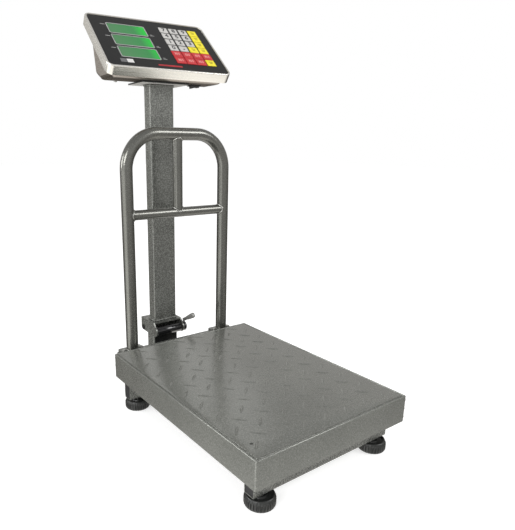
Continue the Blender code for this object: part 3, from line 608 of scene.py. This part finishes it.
def black_plate_painted_lit_underside():
    """Black around its edge and on top; the metal underneath is painted light grey wherever a face points down, a
    painted reflection of the bright floor.
    """
    made = new_material("bracket_black_painted_lit_underside")
    normal = made.tree.nodes.new("ShaderNodeNewGeometry").outputs["Normal"]
    down = made.add("ShaderNodeSeparateXYZ", Vector=normal).outputs["Z"]
    # Faces that point down take the light grey: a painted reflection of the bright floor
    under = made.range(down, 1.0, 0.0, -0.9, -0.6)
    grain = made.noise(500.0)
    painted_floor_reflection = made.ramp(grain, (0.3, (0.40, 0.39, 0.37)), (0.7, (0.52, 0.51, 0.48)))
    made.link(made.mix(under, (0.01, 0.01, 0.01), painted_floor_reflection), "Base Color")
    made.link(made.range(grain, 0.3, 0.5), "Roughness")
    return made.owner


def display_green():
    """A lit green display: paler and greyer to the left, bright green to the right."""
    made = new_material("display_green")
    made.set(Roughness=0.25, Specular_IOR_Level=0.25, Emission_Strength=0.12)
    middle = -(PANEL @ Vector((*WINDOWS[1], 0)))
    centred = made.add("ShaderNodeMapping", Vector=made.coords, Location=middle).outputs[0]
    across = made.add("ShaderNodeSeparateXYZ", Vector=centred).outputs["X"]
    reach = WINDOW_SIZE[0] / 2
    colour = made.ramp(
        made.range(across, 0.0, 1.0, -reach, reach),
        (0.0, (0.070, 0.200, 0.085)),
        (0.72, (0.030, 0.225, 0.060)),
        (1.0, (0.004, 0.500, 0.035)),
    )
    shaded = made.mix(made.range(made.noise(900.0), 0.0, 0.12), colour, (0.02, 0.10, 0.03))
    made.link(shaded, "Base Color")
    made.link(shaded, "Emission Color")
    return made.owner


# ---------------------------------------------------------------- deck


def tread_mark(mesh, centre, angle, top):
    """A low, pointed, rounded ridge with its foot just under the deck's face."""
    turn = Matrix.Rotation(math.radians(angle), 3, "Z")
    steps = 10
    loops = []
    for step in range(steps + 1):
        t = -1 + 2 * step / steps
        taper = max(0.02, (1 - t * t)) ** 0.75
        half = TREAD_WIDTH / 2 * taper
        rise = TREAD_HEIGHT * taper
        x = t * TREAD_LENGTH / 2
        section = [
            (-half, -0.0002),
            (-half, 0.0),
            (-0.62 * half, 0.55 * rise),
            (-0.25 * half, rise),
            (0.25 * half, rise),
            (0.62 * half, 0.55 * rise),
            (half, 0.0),
            (half, -0.0002),
        ]
        loops.append([centre + turn @ Vector((x, y, top + z)) for y, z in section])
    skin(mesh, loops)


def deck_shell(look):
    """The pan: tread plate, a fine seam inside its edge, rounded bends and thin skirts."""
    size = DECK_HIGH - DECK_LOW
    top = DECK_HIGH.z
    screw = centre_of("deck_screw")

    def loop(inset, height):
        radius = max(DECK_CORNER - inset, 0.0004)
        outline = rounded_rectangle(size.x - 2 * inset, size.y - 2 * inset, radius, 4)
        return [Vector((DECK_MIDDLE.x + x, DECK_MIDDLE.y + y, height)) for x, y in outline]

    loops = [loop(0.0, DECK_LOW.z), loop(0.0, top - DECK_BEND)]
    for step in range(1, BEND_STEPS + 1):
        angle = math.pi / 2 * step / BEND_STEPS
        rise = DECK_BEND * math.sin(angle)
        loops.append(loop(DECK_BEND * (1 - math.cos(angle)), top - DECK_BEND + rise))
    loops += [loop(inset, top - depth) for inset, depth in SEAM]
    loops = loops[::-1] + [loop(DECK_SHEET, DECK_LOW.z), loop(DECK_SHEET, top - DECK_SHEET)]
    mesh = bmesh.new()
    rows = [[mesh.verts.new(point) for point in row] for row in loops]
    for low, high in zip(rows, rows[1:]):
        join(mesh, low, high)

    # The screw's hole, and the two faces around it
    hole = circle(SCREW_HOLE, 24, (screw.x, screw.y))
    rings = [[mesh.verts.new((x, y, z)) for x, y in hole] for z in (top, top - DECK_SHEET)]
    join(mesh, *rings)
    for chains in ((rows[0], rings[0]), (rows[-1], rings[1])):
        edges = []
        for chain in chains:
            for pair in zip(chain, chain[1:] + chain[:1]):
                edges.append(mesh.edges.get(pair) or mesh.edges.new(pair))
        bmesh.ops.triangle_fill(mesh, use_beauty=True, use_dissolve=False, edges=edges)
    pan = solid("deck_pan_shell", mesh, look["deck_paint"], "base", 35.0)
    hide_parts("deck_pan")

    # A dark strip on the groove's floor: painted shade in the groove
    mesh = bmesh.new()
    skin(mesh, [loop(inset, top - SEAM_DEPTH + rise) for inset, rise in SEAM_SHADE_STRIP], ring=True)
    solid("deck_seam", mesh, look["seam_dark"], "base", 30.0)

    mesh = bmesh.new()
    course = divided(loop(0.0040, top - 0.0009), 0.0018)
    bead(mesh, course, 0.0005, 3.0, 0.5, 0.004, 6)
    solid("deck_seam_bead", mesh, look["deck_paint"], "base", 60.0)


def deck_details(look):
    deck_shell(look)
    mesh = bmesh.new()
    margin = TREAD_LENGTH * 0.36
    for phase_x, phase_y, angle in TREAD_PHASES:
        for column in range(-5, 6):
            for row in range(-6, 7):
                x = phase_x + column * TREAD_PITCH
                y = phase_y + row * TREAD_PITCH
                inside_x = abs(x) < (DECK_HIGH.x - DECK_LOW.x) / 2 - margin
                inside_y = abs(y) < (DECK_HIGH.y - DECK_LOW.y) / 2 - margin
                if inside_x and inside_y:
                    spot = Vector((DECK_MIDDLE.x + x, DECK_MIDDLE.y + y, 0))
                    tread_mark(mesh, spot, angle, DECK_HIGH.z)
    solid("deck_tread", mesh, look["deck_paint"], "base", 50.0)

    # Three spots on each front corner, two on the left rear one
    mesh = bmesh.new()
    for x, y in ((DECK_LOW.x, DECK_LOW.y), (DECK_HIGH.x, DECK_LOW.y), (DECK_LOW.x, DECK_HIGH.y)):
        inward = Vector(
            (math.copysign(1, DECK_MIDDLE.x - x), math.copysign(1, DECK_MIDDLE.y - y), 0)
        )
        for drop in CORNER_DROPS if y == DECK_LOW.y else CORNER_DROPS[:2]:
            at = Vector((x, y, DECK_HIGH.z - drop)) + inward * CORNER_INSET
            path = [at + Vector((0, 0, rise)) for rise, _ in CORNER_SPOT]
            skin(mesh, tube_loops(path, lambda i, a: CORNER_SPOT[i][1], 10, Vector((1, 0, 0))))
    solid("deck_corner_welds", mesh, look["deck_paint"], "base", 60.0)


# ---------------------------------------------------------------- guard


def guard_path(low, y, top):
    bend_z = top - GUARD_RADIUS - GUARD_BEND
    bend_x = LEG_X - GUARD_BEND
    straight = 8
    levels = [low + (bend_z - low) * i / straight for i in range(straight)]
    path = [(LEG_X, y, z) for z in levels]
    turn = 18
    for side in (1, -1):
        for i in range(turn + 1):
            angle = math.pi / 2 * i / turn + (0 if side == 1 else math.pi / 2)
            x = side * bend_x + GUARD_BEND * math.cos(angle)
            path.append((x, y, bend_z + GUARD_BEND * math.sin(angle)))
    return path + [(-LEG_X, y, z) for z in levels[::-1]]


def guard_details(look):
    low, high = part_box("guard_hoop")
    bars_low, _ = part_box("guard_bars")
    y = (low.y + high.y) / 2
    flange_top = low.z + FLANGE_SHEET
    path = guard_path(flange_top - 0.002, y, high.z)
    mesh = bmesh.new()
    skin(mesh, tube_loops(path, lambda i, a: GUARD_RADIUS, 40, FRONT_BACK))
    hoop = solid("guard_hoop_tube", mesh, look["guard_paint"], "base", 60.0)
    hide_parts("guard_hoop")

    half = (high.x - low.x) / 2 - LEG_X
    mesh = bmesh.new()
    for sign in (-1, 1):
        outline = rounded_rectangle(2 * half, high.y - low.y, 0.002, 4, (sign * LEG_X, y))
        plate(mesh, outline, low.z, flange_top, 0.0008)
    solid("guard_flange_plates", mesh, look["frame_paint"], "base", 40.0)

    # The rung and the centre bar run a little way into the tubes they are welded to
    rung_z = bars_low.z + RUNG_RADIUS
    mesh = bmesh.new()
    ends = [(x, y, rung_z) for x in (-LEG_X + 0.007, 0.0, LEG_X - 0.007)]
    skin(mesh, tube_loops(ends, lambda i, a: RUNG_RADIUS, 36, FRONT_BACK))
    rung = solid("guard_rung", mesh, look["guard_paint"], "base", 60.0)
    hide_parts("guard_bars")
    mesh = bmesh.new()
    levels = (rung_z + 0.005, (rung_z + high.z) / 2, high.z - GUARD_RADIUS - 0.006)
    stand = [(0.0, y, z) for z in levels]
    skin(mesh, tube_loops(stand, lambda i, a: RUNG_RADIUS, 36, FRONT_BACK))
    solid("guard_centre_bar", mesh, look["guard_paint"], "base", 60.0)

    # Beads where rung meets leg, leg meets flange, and centre bar meets rung and hoop
    mesh = bmesh.new()
    around = circle(RUNG_RADIUS, 40)
    for sign in (-1, 1):
        ring = [
            (sign * (LEG_X - math.sqrt(GUARD_RADIUS**2 - v * v)), y + v, rung_z + w)
            for v, w in around
        ]
        bead(mesh, ring, 0.0020, 2.0 + sign)
        foot = circle(GUARD_RADIUS, 40, (sign * LEG_X, y))
        bead(mesh, [(u, v, flange_top + 0.0006) for u, v in foot], 0.0016, 5.0 + sign)
    for level, radius, sign in (
        (rung_z, RUNG_RADIUS, 1),
        (high.z - GUARD_RADIUS, GUARD_RADIUS, -1),
    ):
        ring = [
            (u, y + v, level + sign * math.sqrt(max(radius**2 - v * v, 1e-8))) for u, v in around
        ]
        bead(mesh, ring, 0.0019, 8.0 + sign)
    solid("guard_welds", mesh, look["weld_paint"], "base", 70.0)


# ---------------------------------------------------------------- mast and fold joint


def mast_details(look):
    low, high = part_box("mast_column")
    width, depth = high.x - low.x, high.y - low.y
    centre = ((low.x + high.x) / 2, (low.y + high.y) / 2)
    outline = rounded_rectangle(width, depth, MAST_CORNER, 8, centre)
    mesh = bmesh.new()
    levels = [low.z + (high.z - low.z) * i / 12 for i in range(13)]
    skin(mesh, [[(x, y, z) for x, y in outline] for z in levels])
    column = solid("mast_column_tube", mesh, look["frame_paint"], "mast", 50.0)
    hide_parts("mast_column")

    around = rounded_rectangle(width + 0.001, depth + 0.001, MAST_CORNER + 0.001, 6, centre)
    course = divided(around, 0.0016)
    mesh = bmesh.new()
    bead(mesh, [(x, y, high.z - 0.0017) for x, y in course], 0.0016, 1.0, 0.5)
    bead(mesh, [(x, y, low.z + 0.0012) for x, y in course], 0.0022, 4.0, 0.6)
    solid("mast_welds", mesh, look["frame_paint"], "mast", 70.0)


def post_details(look):
    """A smooth black sheet on the front of the post, under the lock bar: painted shade, standing in for the shade
    and dark reflection on the post's front face.
    """
    low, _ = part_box("base_post")
    outline = rounded_rectangle(SHADE_PLATE_WIDTH, SHADE_PLATE_TOP - low.z - 0.003, 0.001, 3)
    middle = Matrix.Translation((0, low.y - SKIN, (SHADE_PLATE_TOP + low.z) / 2))
    mesh = bmesh.new()
    plate(mesh, outline, 0.0, 0.0004, 0.0001, middle @ Matrix.Rotation(math.pi / 2, 4, "X"))
    solid("post_painted_shade_plate", mesh, look["post_black"], "base", 30.0)


def off_angle(angle, degrees):
    """How far an angle is from another one, between minus and plus half a turn."""
    return (angle - math.radians(degrees) + math.pi) % (2 * math.pi) - math.pi


def bar_radius(angle):
    """The lock bar's section: round, with a narrow groove and a flat."""
    if abs(off_angle(angle, 150)) < 0.12:
        return BAR_RADIUS - 0.0013
    lean = off_angle(angle, 65)
    flat = 0.0068 / max(math.cos(lean), 1e-3) if abs(lean) < 1.2 else BAR_RADIUS
    return min(BAR_RADIUS, flat)


def lock_details(look):
    """The glossy lock bar with its groove, and the hand lever with a swelling paddle."""
    low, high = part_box("lock_bar")
    pivot = Vector(joint("lock_turn")["pos_m"])

    def rod(places, radius_at, sides):
        path = [(x, pivot.y, pivot.z) for x in places]
        mesh = bmesh.new()
        skin(mesh, tube_loops(path, radius_at, sides, FRONT_BACK))
        return mesh

    places = (-BAR_HALF, -BAR_HALF + 0.001, BAR_HALF - 0.001, BAR_HALF)
    scale = (0.93, 1.0, 1.0, 0.93)
    mesh = rod(places, lambda i, a: bar_radius(a) * scale[i], 72)
    bar = solid("lock_bar_gloss", mesh, look["black_gloss"], "lock", 35.0)
    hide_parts("lock_bar")
    mesh = rod((low.x, 0.0, high.x), lambda i, a: JOURNAL_RADIUS, 24)
    solid("lock_bar_journal", mesh, look["zinc"], "lock", 40.0)

    low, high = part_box("lock_lever")
    middle = (low.x + high.x) / 2
    tip = Vector((middle, low.y + 0.004, high.z - 0.006))
    root = Vector((middle, pivot.y - 0.002, pivot.z + 0.014))
    along = (tip - root).normalized()
    length = (tip - root).length
    across = Vector((1, 0, 0))
    over = across.cross(along).normalized()
    loops = []
    steps = 22
    for i in range(steps + 1):
        t = i / steps
        spot = root + along * (length * t)
        # It swells over its outer three quarters and rounds off over its last tenth
        swell = min(1.0, max(0.0, (t - 0.25) / 0.75))
        half_wide = 0.0028 + 0.0002 * t
        half_tall = 0.0034 + 0.0020 * math.sin(swell * math.pi * 0.62)
        if t > 0.9:
            taper = math.sqrt(max(1 - ((t - 0.9) / 0.1) ** 2, 0.05))
            half_wide *= taper
            half_tall *= taper
        loop = []
        for c, s in circle(1.0, 24):
            wide = half_wide * math.copysign(abs(c) ** 0.7, c)
            tall = half_tall * math.copysign(abs(s) ** 0.7, s)
            loop.append(spot + across * wide + over * tall)
        loops.append(loop)
    mesh = bmesh.new()
    skin(mesh, loops)
    lever = solid("lock_lever_arm", mesh, look["lever_paint"], "lock", 50.0)
    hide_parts("lock_lever")
    radii = (0.0096, 0.0101, 0.0101, 0.0096)
    places = (low.x, low.x + 0.0006, high.x - 0.0006, high.x)
    mesh = rod(places, lambda i, a: radii[i], 48)
    solid("lock_lever_boss", mesh, look["black_gloss"], "lock", 40.0)


# ---------------------------------------------------------------- feet


def ribbed(step, angle, radius):
    """Radius of the rubber pad: ribs are cut into its four outer rows."""
    cut = max(0.0, min(1.0, 0.5 - 1.6 * math.cos(FOOT_RIBS * angle)))
    return radius - RIB_DEPTH * cut * RIB_SHARES.get(step, 0.0)


def foot_details(look):
    """Ribbed knob feet: a moulded pad with a dished top, on a plated stud."""
    for node in (n for n in frame["nodes"] if n.startswith("foot_")):
        low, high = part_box(node)
        centre = ((low.x + high.x) / 2, (low.y + high.y) / 2)
        rim = (high.x - low.x) / 2
        profile = [(rim * share, height) for share, height in PAD_OUTLINE]
        profile.append((0.002, PAD_OUTLINE[-1][1]))
        mesh = bmesh.new()
        revolve(mesh, profile, centre, FOOT_RIBS * STEPS_PER_RIB, ribbed)
        pad = solid(node + "_pad", mesh, look["rubber"], node, 45.0)
        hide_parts(node)
        mesh = bmesh.new()
        turns = 26
        rise = (high.z - STUD_FROM) / turns
        stud = [
            (STUD_RADIUS + THREAD_DEPTH * (k % 2), STUD_FROM + rise * k) for k in range(turns + 1)
        ]
        revolve(mesh, stud, centre, 24)
        solid(node + "_stud", mesh, look["zinc"], node, 30.0)


# ---------------------------------------------------------------- indicator head


def tray_details(look):
    """The stainless lid: rounded top edge, open middle under the overlay, thin folded sides."""
    low, high = extent_in("head_tray", PANEL)
    width, length = high.x - low.x - TRAY_CLEARANCE, high.y - low.y - TRAY_CLEARANCE
    top, bottom = high.z, low.z

    def loop(inset, height):
        radius = max(TRAY_CORNER - inset, 0.0015)
        outline = rounded_rectangle(width - 2 * inset, length - 2 * inset, radius, 10)
        return [PANEL @ Vector((u, v, height)) for u, v in outline]

    section = [(0.0, bottom), (0.0, top - TRAY_EDGE)]
    for step in range(1, BEND_STEPS + 1):
        angle = math.pi / 2 * step / BEND_STEPS
        rise = TRAY_EDGE * math.sin(angle)
        section.append((TRAY_EDGE * (1 - math.cos(angle)), top - TRAY_EDGE + rise))
    overlay_low, overlay_high = extent_in("overlay_panel", PANEL)
    lip = (width - (overlay_high.x - overlay_low.x)) / 2 - OVERLAY_GAP
    seat = overlay_low.z - OVERLAY_GAP
    section += [
        (lip - 0.0010, top),
        (lip - 0.0003, top - 0.0003),
        (lip, top - 0.0010),
        (lip, seat),
        (TRAY_LEDGE, seat),
        (TRAY_LEDGE, seat - TRAY_SHEET),
        (TRAY_SHEET + TRAY_EDGE, seat - TRAY_SHEET),
        (TRAY_SHEET, seat - TRAY_SHEET - TRAY_EDGE),
        (TRAY_SHEET, bottom),
    ]
    mesh = bmesh.new()
    skin(mesh, [loop(inset, height) for inset, height in section], ring=True)
    tray = solid("head_tray_lid", mesh, look["steel"], "mast", 40.0)
    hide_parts("head_tray")


def printed(name, outlines, ink):
    """Flat printed shapes on the overlay, a fraction of a millimetre thick."""
    mesh = bmesh.new()
    for outline in outlines:
        plate(mesh, outline, SKIN / 2, PRINT, to=PANEL)
    solid(name, mesh, ink, "mast", 0.0)


def display_details(look):
    wide, tall = WINDOW_SIZE
    mesh = bmesh.new()
    for centre in WINDOWS:
        outline = rounded_rectangle(wide - 0.0008, tall - 0.0008, 0.0022, 6, centre)
        plate(mesh, outline, -0.0014, -0.0003, 0.0003, PANEL)
    glass = solid("display_glass", mesh, look["display_green"], "mast", 30.0)
    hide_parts("display_lens")

    mesh = bmesh.new()
    for centre in WINDOWS:
        rings = []
        for inset, height in BORDER:
            size = (wide - 2 * inset, tall - 2 * inset)
            outline = rounded_rectangle(*size, 0.0028 - inset, 6, centre)
            rings.append([PANEL @ Vector((u, v, height)) for u, v in outline])
        skin(mesh, rings, ring=True)
    solid("display_borders", mesh, look["window_border"], "mast", 30.0)

    labels = []
    for x, y in WINDOWS:
        left, right = x - wide / 2 - 0.0075, x + wide / 2 + 0.0075
        labels.append(bar_outline(0.0085, 0.0016, left, y + 0.0095))
        labels.append(bar_outline(0.0075, 0.0014, right + 0.001, y - 0.0125))
        labels.append(bar_outline(0.0050, 0.0012, right, y - 0.0095))
    printed("panel_labels", labels, look["print_label"])

    dark = bar_outline(0.0112, 0.0104, -0.0848, STICKER_Y)
    white = bar_outline(0.0114, 0.0104, -0.0731, STICKER_Y)
    bar = rounded_rectangle(0.046, 0.0042, 0.0012, 3, (-0.0005, -0.0660))
    printed("panel_sticker_dark", [dark], look["sticker_grey"])
    printed("panel_sticker_white", [white], look["print_light"])
    printed("panel_red_marks", [bar], look["print_red"])


def digit(mesh, name, place):
    """A printed digit, as a thin closed sheet."""
    text = bpy.data.curves.new(name, "FONT")
    text.body = name
    text.size = DIGIT_SIZE
    text.align_x = "CENTER"
    text.align_y = "CENTER"
    text.offset = DIGIT_WEIGHT
    text.resolution_u = 4
    holder = linked(name, text)
    bpy.context.view_layer.update()
    graph = bpy.context.evaluated_depsgraph_get()
    flat = bpy.data.meshes.new_from_object(holder.evaluated_get(graph))
    mesh.from_mesh(flat)
    bpy.data.objects.remove(holder)
    bpy.data.meshes.remove(flat)
    bmesh.ops.remove_doubles(mesh, verts=mesh.verts, dist=1e-6)
    sheet = bmesh.ops.extrude_face_region(mesh, geom=list(mesh.faces))
    lifted = [g for g in sheet["geom"] if isinstance(g, bmesh.types.BMVert)]
    bmesh.ops.translate(mesh, verts=lifted, vec=(0, 0, PRINT - SKIN / 2))
    bmesh.ops.transform(mesh, verts=mesh.verts, matrix=PANEL @ Matrix.Translation(place))


def key_details(look):
    """A printed digit, dot or set of bars on every key."""
    for node in (n for n in frame["nodes"] if n.startswith("key_")):
        low, high = extent_in(node, PANEL)
        x, y = (low.x + high.x) / 2, (low.y + high.y) / 2
        meaning = node.removeprefix("key_")
        mesh = bmesh.new()
        outlines = []
        ink = "print_dark"
        if meaning.isdigit():
            digit(mesh, meaning, Vector((x, y, high.z + SKIN / 2)))
        elif meaning == "dot":
            outlines.append(rounded_rectangle(0.0034, 0.0034, 0.0012, 4, (x, y - 0.002)))
        elif "memory" in meaning:
            for dx in (-0.0036, -0.0004, 0.0034):
                outlines.append(rounded_rectangle(0.0015, 0.0068, 0.0005, 2, (x + dx, y)))
            ink = "print_pink"
        else:
            for dy, wide in ((0.0021, 0.0080), (-0.0021, 0.0056)):
                outlines.append(rounded_rectangle(wide, 0.0019, 0.0006, 2, (x, y + dy)))
            ink = "print_olive"
        for outline in outlines:
            plate(mesh, outline, high.z + SKIN / 2, high.z + PRINT, to=PANEL)
        solid(node + "_mark", mesh, look[ink], node, 0.0)


def head_details(look):
    tray_details(look)
    display_details(look)
    key_details(look)
    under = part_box("head_housing")[0].z
    turn = Matrix.Rotation(PANEL_TURN.z, 4, "Z")
    head = Matrix.Translation(centre_of("overlay_panel")) @ turn
    profile = [(radius, under + height) for radius, height in SCREW_OUTLINE]
    mesh = bmesh.new()
    for x, y in HOUSING_SCREWS:
        revolve(mesh, profile, (head @ Vector((x, y, 0))).xy, 24)
    solid("housing_screws", mesh, look["zinc"], "mast", 40.0)


# ---------------------------------------------------------------- CAD nodes


CAD_LOOKS = {
    "base_frame": "frame_paint",
    "upper_frame": "frame_paint",
    "base_post": "frame_paint",
    "fold_hood": "frame_paint",
    "load_cell": "aluminium",
    "cell_spacer_lower": "zinc",
    "cell_spacer_upper": "zinc",
    "hinge_pin": "dark_zinc",
    "deck_screw": "dark_zinc",
    # The housing's darker steel is painted shade
    "head_housing": "housing_steel",
    "overlay_panel": "overlay",
    "main_board": "board_green",
    "battery": "battery_grey",
    "bracket_plate": "bracket_black_painted_lit_underside",
    "rocker_bezel": "black_plastic",
    "power_rocker": "black_gloss",
}


def paint_cad_nodes(look):
    for name, node in frame["nodes"].items():
        if name in CAD_LOOKS:
            finish = CAD_LOOKS[name]
        elif "screw" in name:
            finish = "zinc"
        elif name.startswith("end_plug"):
            finish = "black_plastic"
        elif name.startswith("key_"):
            finish = SLOTS[name]
        else:
            continue
        node.data.materials.clear()
        node.data.materials.append(look[finish])


# ---------------------------------------------------------------- studio


def camera():
    az, el = CAMERA_AZIMUTH, CAMERA_ELEVATION
    back = Vector((math.sin(az) * math.cos(el), -math.cos(az) * math.cos(el), math.sin(el)))
    right = Vector((math.cos(az), math.sin(az), 0))
    up = back.cross(right)
    turned_right = math.cos(CAMERA_ROLL) * right + math.sin(CAMERA_ROLL) * up
    turned_up = -math.sin(CAMERA_ROLL) * right + math.cos(CAMERA_ROLL) * up
    data = bpy.data.cameras.new("camera")
    data.sensor_width = 36.0
    data.lens = CAMERA_LENS
    data.shift_x, data.shift_y = CAMERA_SHIFT
    data.clip_start = 0.02
    made = linked("camera", data)
    axes = Matrix((turned_right, turned_up, back)).transposed().to_4x4()
    made.matrix_world = Matrix.Translation(CAMERA_AT) @ axes
    bpy.context.scene.camera = made


def area_light(name, place, side, power):
    data = bpy.data.lights.new(name, "AREA")
    data.size = side
    data.energy = power
    made = linked(name, data)
    made.location = place
    aim = Vector(LIGHT_TARGET) - Vector(place)
    made.rotation_euler = aim.to_track_quat("-Z", "Y").to_euler()


def surroundings():
    """White to look at. As light, a room that is brighter on the camera's side of the scale, with a
    bright strip to its left and a glowing floor."""
    world = bpy.data.worlds.new("studio")
    made = Nodes(world, "Background", "Generated")
    height = made.add("ShaderNodeSeparateXYZ", Vector=made.coords).outputs["Z"]
    behind = made.range(made.along(BEHIND), 0.0, 1.0, -0.9)
    strip = made.range(made.along(BESIDE), 0.0, 1.0, 0.80, 0.95)

    wall = made.ramp(behind, (0.1, WALL_NEAR), (0.8, WALL_FAR))
    wall = made.mix(strip, wall, WALL_STRIP)
    lower = made.mix(made.range(height, 0.0, 1.0, -0.45, -0.85), wall, FLOOR_GLOW)
    edge = made.ramp(behind, (0.1, HIGH_NEAR), (0.8, HIGH_FAR))
    upper = made.mix(made.range(height, 0.0, 1.0, 0.25, 0.85), edge, HIGH_TOP)
    room = made.mix(made.range(height, 0.0, 1.0, -0.10, 0.06), lower, upper)
    seen = made.tree.nodes.new("ShaderNodeLightPath").outputs["Is Camera Ray"]
    made.link(made.mix(seen, room, WHITE), "Color")
    bpy.context.scene.world = world


def studio():
    mesh = bmesh.new()
    corners = ((-1, -1), (1, -1), (1, 1), (-1, 1))
    mesh.faces.new([mesh.verts.new((x * FLOOR_REACH, y * FLOOR_REACH, 0)) for x, y in corners])
    data = bpy.data.meshes.new("floor")
    mesh.to_mesh(data)
    mesh.free()
    made = new_material("floor")
    made.set(Roughness=0.75, Emission_Color=WHITE, Emission_Strength=0.62)
    pale, paler = (0.70, 0.70, 0.70), (0.73, 0.73, 0.73)
    made.link(made.ramp(made.noise(3.0), (0.3, pale), (0.7, paler)), "Base Color")
    data.materials.append(made.owner)
    floor = linked("floor", data)
    floor.visible_glossy = False

    surroundings()
    bpy.context.scene.view_settings.view_transform = "Standard"
    for name, values in LIGHTS.items():
        area_light(name, *values)


def main():
    camera()
    look = finishes()
    paint_cad_nodes(look)
    deck_details(look)
    guard_details(look)
    mast_details(look)
    post_details(look)
    lock_details(look)
    foot_details(look)
    head_details(look)
    studio()


main()
